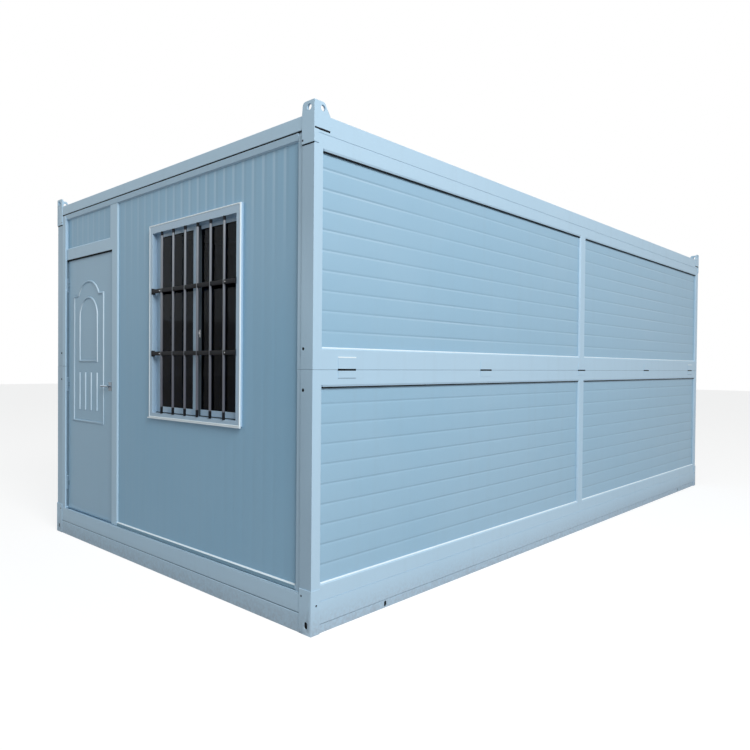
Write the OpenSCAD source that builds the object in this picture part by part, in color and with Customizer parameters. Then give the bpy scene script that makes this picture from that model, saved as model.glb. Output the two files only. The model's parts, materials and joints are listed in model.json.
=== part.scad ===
// Folding container cabin: a 20-foot steel-framed cabin whose long walls fold
// inwards at mid height once both end walls have been swung up under the roof.
// Origin: middle of the footprint, on the ground. +X right, +Y back, +Z up.
// The end with the door and the window is the front, towards -Y.

/* [Overall size] */
// Length over the corner fittings
cabin_l = 5850; // [4200:50:7200]
// Width over the corner fittings
cabin_w = 2900; // [2400:20:3500]
// Height from the ground to the top of the roof frame
cabin_h = 2500; // [2300:20:3000]

/* [Base frame] */
// Height of the two long base beams
base_side_h = 156; // [120:2:200]
// Height of the two end base beams
base_end_h = 188; // [150:2:240]
// Thickness of an end base beam, measured inwards
base_beam_t = 84; // [60:2:100]
// Height of the set-back lower band of a long base beam
band_h = 42; // [40:2:80]
// Depth that the band is set back
band_d = 6; // [3:1:12]
// Height of the groove along an end base beam
groove_z = 95; // [60:1:130]
// Width of that groove
groove_w = 8; // [4:1:14]
// Depth of that groove
groove_d = 4; // [2:1:8]
// Distance from the cabin's end to a tie slot in a long base beam
slot_inset = 555; // [300:5:900]
// Width of a tie slot
slot_w = 20; // [12:1:30]
// Height of a tie slot
slot_h = 30; // [20:1:36]
// Spacing of the floor joists
joist_pitch = 400; // [300:10:600]
// Width of a floor joist
joist_w = 50; // [30:2:80]
// Depth of a floor joist
joist_h = 80; // [50:2:110]
// Thickness of the floor board
floor_t = 18; // [12:1:30]

/* [Roof frame] */
// Height of the two long roof beams
roof_side_h = 90; // [80:2:140]
// Height of the two end roof beams
roof_end_h = 68; // [50:2:90]
// Thickness of an end roof beam, measured inwards
roof_beam_t = 82; // [60:2:100]
// Thickness of the ceiling panel
ceiling_t = 20; // [10:1:24]
// Height of the ceiling's underside below the top of the roof frame
ceiling_drop = 45; // [40:1:50]
// Thickness of the ribbed roof sheet
sheet_t = 2; // [1:0.5:4]
// Height of the sheet's ribs
sheet_rib = 12; // [6:1:16]
// Spacing of the sheet's ribs
sheet_pitch = 250; // [150:10:400]

/* [Corner fittings] */
// Width of a corner fitting on the end of the cabin
foot_w = 88; // [70:2:110]
// Width of a base corner fitting on the long side
foot_l = 60; // [40:2:80]
// Height of the base fitting's cover plates
foot_h = 219; // [190:1:260]
// Thickness of the cover plates
plate_t = 4; // [3:0.5:8]
// Width of the lashing hole in a base fitting
lash_w = 22; // [14:1:30]
// Height of the lashing hole
lash_h = 34; // [32:1:60]
// Distance of the lashing hole from the cabin's side
lash_x = 37; // [30:1:50]
// Height of the lashing hole's middle above the ground
lash_z = 47; // [35:1:90]
// Depth of the lashing hole
lash_d = 40; // [20:1:50]
// Width of a roof corner fitting on the long side
ear_l = 107; // [90:1:140]
// Height of a lifting ear above the roof frame
ear_h = 60; // [45:1:90]
// Thickness of a lifting ear
ear_t = 12; // [8:1:20]
// Diameter of the holes in a lifting ear
ear_bore = 30; // [20:1:32]
// Distance of the end ear's hole from the cabin's side
ear_hole_w = 36; // [32:1:50]
// Distance of the side ear's hole from the cabin's end
ear_hole_l = 58; // [40:1:60]
// Width of the roof fitting's cover plate on the long side
skirt_l = 32; // [20:1:50]
// Depth that the roof fitting's cover plates reach below the frame's top
ear_skirt = 139; // [120:1:180]
// Height of the open slot under a roof corner fitting
ear_slot = 8; // [4:1:12]

/* [Long walls] */
// Height of the fold line of the long walls
fold_z = 1280; // [1000:5:1500]
// Open gap along the fold line
fold_gap = 3; // [1:0.5:8]
// Thickness of a long wall
side_t = 60; // [50:2:80]
// Width of the end posts on the end of the cabin
post_w = 119; // [100:1:150]
// Width of the end posts on the long side
post_l = 72; // [60:1:100]
// Width of the post's inner lip
lip_w = 31; // [20:1:40]
// Width of the middle stile
mid_stile_w = 96; // [60:2:140]
// Height of the lower half's bottom rail
rail_a = 88; // [70:1:130]
// Height of the lower half's top rail
rail_b = 83; // [60:1:120]
// Height of the upper half's bottom rail
rail_c = 107; // [60:1:120]
// Height of the upper half's top rail
rail_d = 80; // [60:1:120]
// Thickness of a wall panel
panel_t = 40; // [30:1:44]
// Depth that a panel lies behind its frame's face
panel_in = 14; // [8:1:16]
// Bevel round a frame's openings
bevel = 10; // [4:1:12]
// Spacing of the horizontal grooves on the long walls
band_pitch = 98; // [60:1:140]
// Width of such a groove
rib_w = 18; // [8:1:30]
// Depth of such a groove
rib_d = 2; // [1.5:0.5:4]
// Depth that the face between two such grooves falls away from its crown
band_crown = 0.8; // [0.2:0.1:1.2]
// Diameter of the locking holes in the end posts
lock_bore = 16; // [10:1:24]
// Distance of the locking holes from the fold line
lock_z = 100; // [50:1:140]

/* [Fold hinges] */
// Length of a hinge
hinge_l = 130; // [80:5:180]
// Height of a hinge's upper leaf above the fold line
hinge_up = 60; // [40:2:70]
// Depth of its lower leaf below the fold line
hinge_down = 40; // [30:2:60]
// Thickness of the leaves
hinge_t = 2; // [1.5:0.5:4]
// Distance from the cabin's end to the middle of the first hinge
hinge_inset = 240; // [160:5:400]
// Distance from the middle of the cabin to the hinge beside it
hinge_mid = 1400; // [900:10:1600]
// Radius of a fold hinge's barrel
fold_r = 7; // [5:0.5:9]
// Height of the slot between a hinge's leaves
fold_slot = 10; // [6:1:10]

/* [End walls] */
// Depth that an end wall lies behind the frame's face
wall_in = 15; // [8:1:24]
// Thickness of an end wall
wall_t = 60; // [56:1:70]
// Clearance beside an end wall
wall_gap = 6; // [5:0.5:10]
// Clearance above an end wall
wall_top_gap = 7; // [6:0.5:12]
// Clearance below an end wall
wall_sill_gap = 9; // [7:0.5:14]
// Width of the door's jamb
jamb_w = 14; // [12:1:60]
// Width of the trim at an end wall's free edges
edge_w = 10; // [9:1:30]
// Height of an end wall's top rail
top_rail_h = 35; // [30:1:60]
// Height of an end wall's bottom rail
bottom_rail_h = 25; // [20:1:50]
// Depth that an end wall's panel lies behind its frame
end_panel_in = 10; // [5:1:12]
// Bevel round an end wall's panels
end_bevel = 8; // [2:1:8]
// Spacing of the upright grooves on the end walls
flute_pitch = 86; // [60:1:120]
// Width of such a groove
flute_w = 40; // [10:1:50]
// Depth of such a groove
flute_d = 0.6; // [0.5:0.1:3]
// Depth that the face between two such grooves falls away from its crown
flute_crown = 0.1; // [0.1:0.1:0.4]
// Radius of the barrel of a swing hinge
swing_r = 9; // [7:0.5:10]
// Radius of the pin of a swing hinge
swing_pin_r = 5; // [4:0.5:6]
// Length of each knuckle of a swing hinge
swing_knuckle = 40; // [30:1:60]

/* [Door] */
// Width of the door leaf
door_w = 708; // [600:2:900]
// Height of the door leaf
door_h = 1867; // [1750:1:2000]
// Thickness of the door leaf
door_t = 38; // [32:1:40]
// Depth that the door leaf lies behind its frame's face
door_in = 12; // [12:1:22]
// Clearance at the door's hinge edge
hinge_gap = 7; // [6:0.5:10]
// Clearance round the door's other edges
door_gap = 8; // [7:0.5:12]
// Height of the threshold strip
threshold_h = 6; // [6:1:16]
// Width of the post between the door and the panel
door_post_w = 80; // [60:1:100]
// Distance of the transom's panel from the door's post
transom_edge = 34; // [20:1:50]
// Height of the rail above the door
transom_rail_h = 88; // [60:1:110]
// Depth of the pressed grooves in the door
press_d = 4; // [2:0.5:6]
// Width of a pressed groove at its floor
press_floor = 4; // [3:1:8]
// Width of each sloping side of a pressed groove
press_side = 8; // [3:1:8]
// Width of the door's outer pressed field
field_w = 488; // [300:2:500]
// Distance of the pressings' middle to the left of the leaf's middle
field_shift = 20; // [0:1:30]
// Height of the outer field's foot above the leaf's foot
field_z0 = 657; // [300:1:700]
// Height of the outer field's shoulders above the leaf's foot
field_z1 = 1602; // [1560:1:1620]
// Width of the arch between the shoulders
field_arch = 340; // [240:2:360]
// Rise of the arch above the shoulders
field_rise = 98; // [60:1:120]
// Width of the round-headed inner panel
head_w = 298; // [160:2:310]
// Height of the inner panel's foot above the leaf's foot
head_z0 = 1100; // [1080:1:1300]
// Height of the inner panel's crown above the leaf's foot
head_z1 = 1582; // [1500:1:1590]
// Number of upright flutes under the inner panel
flute_n = 4; // [2:1:5]
// Spacing of those flutes
door_flute_pitch = 92; // [60:1:92]
// Width of a flute
door_flute_w = 20; // [18:1:26]
// Height of the flutes' foot above the leaf's foot
door_flute_z0 = 747; // [740:1:800]
// Height of the flutes' head above the leaf's foot
door_flute_z1 = 1032; // [900:1:1050]
// Height of the lever handle above the threshold
handle_z = 933; // [850:1:1100]
// Distance of the handle's middle from the leaf's free edge
handle_inset = 36; // [32:1:80]
// Reach of the lever handle out of the leaf
handle_reach = 27; // [22:1:27]
// Radius of the lever
lever_r = 6; // [5:0.5:8]
// Length of the lever
lever_l = 95; // [80:5:140]
// Width of the handle's plate
handle_plate_w = 44; // [30:1:50]
// Height of the handle's plate
handle_plate_h = 60; // [44:1:240]
// Thickness of the handle's plate
handle_plate_t = 3; // [2:1:5]
// Radius of a door hinge's barrel
door_hinge_r = 5; // [4.5:0.5:6]
// Radius of a door hinge's pin
door_pin_r = 3; // [2:0.5:3.5]
// Length of each knuckle of a door hinge
door_knuckle = 32; // [24:1:50]
// Distance of the end hinges from the leaf's ends
door_hinge_inset = 180; // [120:5:300]

/* [Window] */
// Width of the window frame
window_w = 946; // [600:2:1200]
// Height of the window frame
window_h = 1204; // [800:4:1300]
// Distance of the window's middle to the right of its panel's middle
window_shift = -5; // [-80:1:80]
// Height of the window's bottom above the ground
window_z = 966; // [700:2:1100]
// Width of the window frame's jambs
window_bar = 38; // [20:1:50]
// Height of the window frame's head
window_head = 52; // [20:1:60]
// Height of the window frame's sill
window_sill = 30; // [20:1:50]
// Depth that the window frame stands out of the wall's face
window_out = 7; // [2:1:10]
// Width of a sash's stiles and of its bottom rail
sash_bar = 40; // [30:1:70]
// Height of a sash's top rail
sash_head = 25; // [20:1:70]
// Thickness of a sliding sash
sash_t = 18; // [14:1:22]
// Overlap of the two sashes
sash_lap = 30; // [20:1:60]
// Thickness of the glass
glass_t = 5; // [3:1:8]

/* [Hidden] */
$fn = 32;

// Cuts run this far past the faces they cut.
past = 1;
// Radial running clearance of a pin in its knuckle.
run_fit = 0.05;
// Gap between two knuckles.
knuckle_gap = 2;
// Clearance of a barrel from the flat beside it.
barrel_gap = 1;
// Least thickness left round a pin.
bore_wall = 2;
// Clearance between an end wall and what swings past it.
swing_gap = 3;
// Half of the footprint.
half_w = cabin_w / 2;
half_l = cabin_l / 2;

// Levels
joist_top = base_side_h - floor_t / 2;
floor_top = joist_top + floor_t;
roof_side_z = cabin_h - roof_side_h;
roof_end_z = cabin_h - roof_end_h;
ceiling_z = cabin_h - ceiling_drop;
lower_top = fold_z - fold_gap / 2;
upper_bottom = fold_z + fold_gap / 2;

// Faces of the beams and the long walls, measured from the middle
beam_in = 2;
beam_face_x = half_w - beam_in;
beam_face_y = half_l - beam_in;
beam_inner_x = half_w - foot_w;
base_inner_y = beam_face_y - base_beam_t;
roof_inner_y = beam_face_y - roof_beam_t;
side_face = half_w - plate_t;
side_end = half_l - plate_t;
side_inner = side_face - side_t;
post_inner = half_w - post_w;
post_step = post_inner + lip_w;

// End walls
wall_half = post_inner - wall_gap;
edge_x = wall_half - edge_w;
wall_z0 = base_end_h + wall_sill_gap;
wall_z1 = roof_end_z - wall_top_gap;
wall_inner = wall_in + wall_t;
panel_z0 = wall_z0 + bottom_rail_h;
panel_z1 = wall_z1 - top_rail_h;
end_panel_d = wall_in + end_panel_in;
swing_off = swing_r + bore_wall;
swing_z = wall_z1 - swing_off;
swing_l = 3 * swing_knuckle + 2 * knuckle_gap;
swing_xs = [-wall_half * 2 / 3, 0, wall_half * 2 / 3];

// Door
jamb_x = -wall_half + jamb_w;
door_x = jamb_x + hinge_gap;
door_z = wall_z0 + threshold_h + door_gap;
door_d = wall_in + door_in;
post_x0 = door_x + door_w + door_gap;
post_x1 = post_x0 + door_post_w;
transom_z0 = door_z + door_h + door_gap;
transom_z1 = transom_z0 + transom_rail_h;
transom_x1 = post_x0 - transom_edge;
door_axis_x = jamb_x + door_hinge_r + barrel_gap;
door_axis_d = door_d - door_hinge_r - barrel_gap;
door_hinge_zs = [door_z + door_hinge_inset, door_z + door_h / 2, door_z + door_h - door_hinge_inset];

// Window
window_x0 = (post_x1 + edge_x - window_w) / 2 + window_shift;
window_x1 = window_x0 + window_w;
sash_x0 = window_x0 + window_bar;
sash_x1 = window_x1 - window_bar;
sash_z0 = window_z + window_sill;
sash_z1 = window_z + window_h - window_head;
sash_w = (sash_x1 - sash_x0 + sash_lap) / 2;
sash_d1 = wall_inner - sash_t;
sash_d0 = sash_d1 - sash_t;

// ---------------------------------------------------------------- helpers

// A box from its lowest corner to its highest.
module block(lo, hi) {
    translate(lo) cube(hi - lo);
}

// Children built at the front end, with y as the depth behind the front face.
module at_front() {
    translate([0, -half_l, 0]) children();
}

// Children built for the front end, turned to the back end.
module at_back() {
    mirror([0, 1, 0]) at_front() children();
}

// A slot with round ends, drawn upright in the XY plane.
module slot_2d(w, h) {
    translate([-w / 2, -(h - w) / 2]) square([w, h - w]);
    for (s = [-1, 1]) translate([0, s * (h - w) / 2]) circle(d = w);
}

// Points of an arc about c, from angle a0 to a1.
function arc(c, r, a0, a1, n = 8) =
    [for (i = [0:n]) let (a = a0 + (a1 - a0) * i / n) c + r * [cos(a), sin(a)]];

// Outline of a panel's section: a flat back and a face with grooves across it, and
// between two grooves a face that curves away from its crown.
// The section is w wide and t thick, with its crowns at y = 0 and its back at y = t.
function grooved(w, t, pitch, gw, gd, crown) =
    let (n = floor((w - gw) / pitch), first = (w - (n - 1) * pitch) / 2, half = (pitch - gw) / 2)
    concat([[0, t], [0, 0]],
           [for (i = [0:n]) each concat(
               [for (k = [-3:3]) let (x = first + (i - 1 / 2) * pitch + half * k / 3)
                if (x > 0 && x < w) [x, crown * k * k / 9]],
               i < n ? [[first + i * pitch, gd]] : [])],
           [[w, 0], [w, t]]);

// An opening through a plate whose face is at y = 0 and whose back is at y = t,
// from [x0, z0] to [x1, z1], with a bevel round it at the face.
module bevelled_opening(lo, hi, t, size) {
    grow = size + past;
    intersection() {
        translate([0, 0, lo[1] - grow]) linear_extrude(hi[1] - lo[1] + 2 * grow)
            polygon([[lo[0], t + past], [lo[0], size], [lo[0] - grow, -past],
                     [hi[0] + grow, -past], [hi[0], size], [hi[0], t + past]]);
        translate([lo[0] - grow, 0, 0]) rotate([90, 0, 90]) linear_extrude(hi[0] - lo[0] + 2 * grow)
            polygon([[t + past, lo[1]], [size, lo[1]], [-past, lo[1] - grow],
                     [-past, hi[1] + grow], [size, hi[1]], [t + past, hi[1]]]);
    }
}

// A solid through loops of points, each anticlockwise as seen from the first
// loop's side. A closed one joins its last loop to its first, and an open one is capped.
module looped(loops, closed) {
    n = len(loops[0]);
    last = len(loops) - 1;
    sides = [for (i = [0:closed ? last : last - 1], j = [0:n - 1])
             let (a = i * n, b = (i + 1) % (last + 1) * n, k = (j + 1) % n)
             each [[a + j, b + k, b + j], [a + j, a + k, b + k]]];
    caps = closed ? [] : [[for (j = [n - 1:-1:0]) j], [for (j = [0:n - 1]) last * n + j]];
    polyhedron([for (loop = loops) each loop], concat(sides, caps));
}

// ------------------------------------------------------------- base frame

module base_side_beam() {
    face = beam_face_x;
    difference() {
        rotate([90, 0, 0]) linear_extrude(cabin_l - 2 * foot_l, center = true)
            polygon([[beam_inner_x, 0], [face - band_d, 0], [face - band_d, band_h],
                     [face, band_h + band_d], [face, base_side_h], [beam_inner_x, base_side_h]]);
        for (s = [-1, 1]) translate([face, s * (half_l - slot_inset), band_h / 2])
            rotate([90, 0, 90]) linear_extrude(foot_w, center = true) slot_2d(slot_w, slot_h);
    }
}

module base_end_beam() {
    difference() {
        block([foot_w - half_w, beam_in, 0], [half_w - foot_w, beam_in + base_beam_t, base_end_h]);
        translate([-half_w, beam_in, groove_z]) rotate([0, 90, 0]) linear_extrude(cabin_w)
            polygon([[-groove_w / 2, -past], [-groove_w / 2, 0], [0, groove_d],
                     [groove_w / 2, 0], [groove_w / 2, -past]]);
    }
}

module base_corner() {
    difference() {
        union() {
            block([half_w - foot_w, 0, 0], [half_w, foot_l, base_side_h]);
            block([half_w - foot_w, 0, 0], [half_w, plate_t, foot_h]);
            block([side_face, 0, 0], [half_w, foot_l, foot_h]);
        }
        translate([half_w - lash_x, -past, lash_z]) rotate([-90, 0, 0])
            linear_extrude(lash_d + past) slot_2d(lash_w, lash_h);
    }
}

module floor_joists() {
    n = floor(2 * (base_inner_y - joist_w) / joist_pitch);
    for (i = [0:n - 1]) translate([0, (i - (n - 1) / 2) * joist_pitch, joist_top - joist_h / 2])
        cube([2 * beam_inner_x, joist_w, joist_h], center = true);
}

module floor_board() {
    block([-beam_inner_x, -base_inner_y, joist_top], [beam_inner_x, base_inner_y, floor_top]);
}

// ------------------------------------------------------------- roof frame

module roof_side_beam() {
    run = cabin_l - 2 * ear_l;
    tongue_end = half_l - skirt_l;
    tongue_top = roof_end_z - ear_slot;
    block([beam_inner_x, -run / 2, roof_side_z], [beam_face_x, run / 2, cabin_h]);
    for (s = [0, 1]) mirror([0, s, 0])
        block([beam_inner_x, run / 2, roof_side_z], [beam_face_x, tongue_end, tongue_top]);
}

module roof_end_beam() {
    block([foot_w - half_w, beam_in, roof_end_z], [half_w - foot_w, beam_in + roof_beam_t, cabin_h]);
}

// Outline of one lifting ear: upright at the cabin's corner, rounded over and
// sloping down away from it. x runs away from the corner, y up from the frame.
function ear_outline(w, slope) =
    let (r = ear_h / 3)
    concat([[0, -roof_end_h], [0, ear_h]],
           arc([w - slope - r, ear_h - r], r, 90, 20),
           [[w, 0], [w, -roof_end_h]]);

module roof_corner() {
    hole_z = cabin_h + ear_h / 2;
    difference() {
        union() {
            block([half_w - foot_w, 0, roof_end_z], [half_w, ear_l, cabin_h]);
            block([half_w - foot_w, 0, cabin_h - ear_skirt], [half_w, plate_t, cabin_h]);
            block([side_face, 0, cabin_h - ear_skirt], [half_w, skirt_l, roof_end_z - ear_slot]);
            block([half_w - foot_w, plate_t, roof_side_z], [side_face - 2 * plate_t, skirt_l, roof_end_z]);
            translate([half_w, 0, cabin_h]) rotate([90, 0, 0]) mirror([1, 0, 0]) mirror([0, 0, 1])
                linear_extrude(ear_t) polygon(ear_outline(foot_w, 4));
            translate([half_w - ear_t, 0, cabin_h]) rotate([90, 0, 90])
                linear_extrude(ear_t) polygon(ear_outline(ear_l, ear_h / 2));
        }
        translate([half_w - ear_hole_w, ear_t / 2, hole_z]) rotate([90, 0, 0])
            cylinder(d = ear_bore, h = ear_t + 2 * past, center = true);
        translate([half_w - ear_t / 2, ear_hole_l, hole_z]) rotate([0, 90, 0])
            cylinder(d = ear_bore, h = ear_t + 2 * past, center = true);
    }
}

module roof_sheet() {
    n = floor(2 * roof_inner_y / sheet_pitch);
    flat = sheet_pitch - 4 * sheet_rib;
    first = -n * sheet_pitch / 2;
    low = cabin_h - sheet_rib - 2 * sheet_t;
    steps = [for (i = [0:n - 1], p = [[0, 0], [flat, 0], [flat + sheet_rib, sheet_rib],
             [flat + 3 * sheet_rib, sheet_rib]]) [first + i * sheet_pitch + p.x, low + p.y]];
    line = concat([[-roof_inner_y, low]], steps, [[-first, low], [roof_inner_y, low]]);
    lower = [for (i = [len(line) - 1:-1:0]) line[i]];
    translate([-beam_inner_x, 0, 0]) rotate([90, 0, 90]) linear_extrude(2 * beam_inner_x)
        polygon(concat([for (p = line) p + [0, sheet_t]], lower));
}

module ceiling() {
    block([-beam_inner_x, -roof_inner_y, ceiling_z], [beam_inner_x, roof_inner_y, ceiling_z + ceiling_t]);
}

// -------------------------------------------------------------- long walls

// The two clear openings of one half wall, as [y0, y1].
panel_spans = [[-half_l + post_l, -mid_stile_w / 2], [mid_stile_w / 2, half_l - post_l]];
lower_span = [base_side_h + rail_a, lower_top - rail_b];
upper_span = [upper_bottom + rail_c, roof_side_z - rail_d];

// Middles of the hinges along a fold line.
hinge_ys = [hinge_inset - half_l, -hinge_mid, 0, hinge_mid, half_l - hinge_inset];

// The pocket along the fold line that a hinge's barrel lies in.
module fold_pockets() {
    pocket = 2 * fold_r + 2 * barrel_gap;
    for (y = hinge_ys) translate([side_face, y, fold_z])
        cube([2 * pocket, hinge_l + 2 * barrel_gap, pocket], center = true);
}

// One half of a long wall's frame between z0 and z1, with its opening between span.x and span.y.
module half_frame(z0, z1, span, lip_z0) {
    difference() {
        union() {
            block([side_inner, -side_end, z0], [side_face, side_end, z1]);
            for (s = [0, 1]) mirror([0, s, 0]) {
                block([max(post_step, beam_inner_x), -side_end, z0], [side_face, post_l - half_l, z1]);
                block([post_step, -side_end, lip_z0], [side_face, post_l - half_l, z1]);
                block([post_inner, -side_end + plate_t, lip_z0], [post_step, post_l - half_l, z1]);
            }
        }
        for (p = panel_spans) translate([side_face, 0, 0]) rotate(90)
            bevelled_opening([p[0], span[0]], [p[1], span[1]], side_t, bevel);
        for (s = [-1, 1], z = [fold_z - lock_z, fold_z + lock_z])
            translate([post_step + lock_bore, s * side_end, z]) rotate([90, 0, 0])
                cylinder(d = lock_bore, h = post_l, center = true);
        fold_pockets();
    }
}

module side_lower_frame() {
    half_frame(base_side_h, lower_top, lower_span, base_end_h);
}

module side_upper_frame() {
    half_frame(upper_bottom, roof_side_z, upper_span, upper_bottom);
}

module side_panels() {
    face = side_face - panel_in;
    for (p = panel_spans, span = [lower_span, upper_span])
        translate([face, p[1], span[0]]) rotate([90, 0, 0]) linear_extrude(p[1] - p[0])
            rotate(90) polygon(grooved(span[1] - span[0], panel_t, band_pitch, rib_w, rib_d, band_crown));
}

// One leaf: flat on its half's face, with an edge turned in to the barrel behind the slot.
module fold_leaf(reach) {
    pocket = fold_r + barrel_gap;
    linear_extrude(hinge_l, center = true)
        polygon([[0, pocket], [-pocket, pocket], [-pocket, fold_slot / 2],
                 [hinge_t, fold_slot / 2], [hinge_t, reach], [0, reach]]);
}

module fold_hinges() {
    for (y = hinge_ys) translate([side_face, y, fold_z]) rotate([90, 0, 0]) {
        translate([-fold_r - barrel_gap, 0, 0]) cylinder(r = fold_r, h = hinge_l, center = true);
        fold_leaf(hinge_up);
        mirror([0, 1, 0]) fold_leaf(hinge_down);
    }
}

// --------------------------------------------------------------- end walls

// A swing hinge's leaf on the wall, with its knuckle's bore open.
module swing_leaves() {
    leaf_t = swing_off - swing_pin_r - bore_wall;
    difference() {
        for (x = swing_xs) translate([x, wall_inner, swing_z]) {
            translate([0, swing_off, 0]) rotate([0, 90, 0])
                cylinder(r = swing_r, h = swing_knuckle, center = true);
            block([-swing_knuckle / 2, 0, -swing_knuckle], [swing_knuckle / 2, leaf_t, 0]);
        }
        for (x = swing_xs) translate([x, wall_inner + swing_off, swing_z]) rotate([0, 90, 0])
            cylinder(r = swing_pin_r + run_fit, h = swing_l, center = true);
    }
}

// The leaf on the roof beam, with the pin fixed in its two knuckles.
module swing_pins() {
    beam = beam_in + roof_beam_t - wall_inner - swing_off;
    leaf_z = swing_r + swing_gap;
    for (x = swing_xs) translate([x, wall_inner + swing_off, swing_z]) {
        rotate([0, 90, 0]) cylinder(r = swing_pin_r, h = swing_l, center = true);
        for (s = [-1, 1]) translate([s * (swing_knuckle + knuckle_gap), 0, 0]) {
            rotate([0, 90, 0]) cylinder(r = swing_r, h = swing_knuckle, center = true);
            block([-swing_knuckle / 2, beam, 0], [swing_knuckle / 2, beam + plate_t, leaf_z]);
        }
        block([-swing_l / 2, beam, leaf_z], [swing_l / 2, beam + plate_t, ceiling_z - swing_z]);
    }
}

// The plate of an end wall, as tall and as wide as the wall, with its openings cut by its children.
module end_frame() {
    difference() {
        block([-wall_half, wall_in, wall_z0], [wall_half, wall_inner, wall_z1]);
        translate([0, wall_in, 0]) children();
    }
}

module front_wall_frame() {
    end_frame() {
        bevelled_opening([post_x1, panel_z0], [edge_x, panel_z1], wall_t, end_bevel);
        bevelled_opening([jamb_x, transom_z1], [transom_x1, panel_z1], wall_t, end_bevel);
        block([jamb_x, -past, wall_z0 + threshold_h], [post_x0, wall_t + past, transom_z0]);
        block([jamb_x, -past, wall_z0 - past], [post_x0, door_in, wall_z0 + threshold_h + past]);
    }
}

module back_wall_frame() {
    end_frame() bevelled_opening([-edge_x, panel_z0], [edge_x, panel_z1], wall_t, end_bevel);
}

// A panel with upright ribs, between x0 and x1 and between z0 and z1.
module fluted_panel(x0, x1, z0, z1) {
    translate([x0, end_panel_d, z0]) linear_extrude(z1 - z0)
        polygon(grooved(x1 - x0, wall_inner - end_panel_d, flute_pitch, flute_w, flute_d, flute_crown));
}

module front_wall_panel() {
    difference() {
        fluted_panel(post_x1, edge_x, panel_z0, panel_z1);
        block([window_x0, 0, window_z], [window_x1, wall_inner + past, window_z + window_h]);
    }
}

module transom_panel() {
    fluted_panel(jamb_x, transom_x1, transom_z1, panel_z1);
}

module back_wall_panel() {
    fluted_panel(-edge_x, edge_x, panel_z0, panel_z1);
}

// ------------------------------------------------------------------ window

module window_frame() {
    difference() {
        block([window_x0, wall_in - window_out, window_z], [window_x1, wall_inner, window_z + window_h]);
        block([sash_x0, 0, sash_z0], [sash_x1, wall_inner + past, sash_z1]);
    }
}

module sash(x0, d0) {
    difference() {
        block([x0, d0, sash_z0], [x0 + sash_w, d0 + sash_t, sash_z1]);
        block([x0 + sash_bar, 0, sash_z0 + sash_bar],
              [x0 + sash_w - sash_bar, wall_inner + past, sash_z1 - sash_head]);
    }
}

module pane(x0, d0) {
    block([x0 + sash_bar, d0 + (sash_t - glass_t) / 2, sash_z0 + sash_bar],
          [x0 + sash_w - sash_bar, d0 + (sash_t + glass_t) / 2, sash_z1 - sash_head]);
}

// -------------------------------------------------------------------- door

// Outline of the round-headed inner panel, moved inwards by d, from the leaf's foot.
function round_headed(d) =
    concat([[-head_w / 2 + d, head_z0 + d], [head_w / 2 - d, head_z0 + d]],
           arc([0, head_z1 - head_w / 2], head_w / 2 - d, 0, 180, 16));

// Outline of the outer field, moved inwards by d: square shoulders with an arch between them.
function shouldered(d) =
    let (r = (field_arch * field_arch / 4 + field_rise * field_rise) / (2 * field_rise),
         centre = [0, field_z1 + field_rise - r], a = asin((field_z1 - d - centre.y) / (r - d)),
         x = field_w / 2 - d)
    concat([[-x, field_z0 + d], [x, field_z0 + d], [x, field_z1 - d]],
           arc(centre, r - d, a, 180 - a, 16), [[-x, field_z1 - d]]);

// Outline of one flute, moved inwards by d.
function flute(d) =
    let (x = door_flute_w / 2 - d, z0 = door_flute_z0 + d, z1 = door_flute_z1 - d)
    [[-x, z0], [x, z0], [x, z1], [-x, z1]];

// An outline as a loop of points at the given depth behind the leaf's face.
function at_depth(outline, depth) = [for (p = outline) [p.x, depth, p.y]];

// What is pressed into one face of the leaf. A groove's sides slope to its floor,
// and carry on past the face at the same slope.
module door_pressing() {
    slope = press_side / press_d;
    over = past * slope;
    near = press_side + press_floor;
    far = near + press_side;
    looped([at_depth(shouldered(-over), -past), at_depth(shouldered(press_side), press_d),
            at_depth(shouldered(near), press_d), at_depth(shouldered(far + over), -past)], true);
    looped([at_depth(round_headed(-over), -past), at_depth(round_headed(press_side), press_d),
            at_depth(round_headed(near), press_d), at_depth(round_headed(far + over), -past)], true);
    for (i = [0:flute_n - 1]) translate([(i - (flute_n - 1) / 2) * door_flute_pitch, 0, 0])
        looped([at_depth(flute(-over), -past), at_depth(flute(press_side), press_d)], false);
}

module door_leaf() {
    translate([door_x + door_w / 2, door_d, door_z]) difference() {
        block([-door_w / 2, 0, 0], [door_w / 2, door_t, door_h]);
        translate([-field_shift, 0, 0]) door_pressing();
        translate([-field_shift, door_t, 0]) mirror([0, 1, 0]) door_pressing();
    }
}

// The door hinge's leaf on the door, with its knuckle's bore open.
module door_hinge_leaves() {
    for (z = door_hinge_zs) translate([door_axis_x, door_axis_d, z]) difference() {
        union() {
            cylinder(r = door_hinge_r, h = door_knuckle, center = true);
            translate([0, door_pin_r, -door_knuckle / 2])
                cube([4 * door_hinge_r, door_hinge_r + barrel_gap - door_pin_r, door_knuckle]);
        }
        cylinder(r = door_pin_r + run_fit, h = 2 * door_knuckle, center = true);
    }
}

// The leaf on the jamb, with the pin fixed in its two knuckles.
module door_jamb_pins() {
    for (z = door_hinge_zs) translate([door_axis_x, door_axis_d, z]) {
        cylinder(r = door_pin_r, h = 3 * door_knuckle + 2 * knuckle_gap, center = true);
        for (s = [-1, 1]) translate([0, 0, s * (door_knuckle + knuckle_gap)]) {
            cylinder(r = door_hinge_r, h = door_knuckle, center = true);
            block([jamb_x - door_axis_x, -door_pin_r, -door_knuckle / 2], [0, door_pin_r, door_knuckle / 2]);
        }
    }
}

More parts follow.
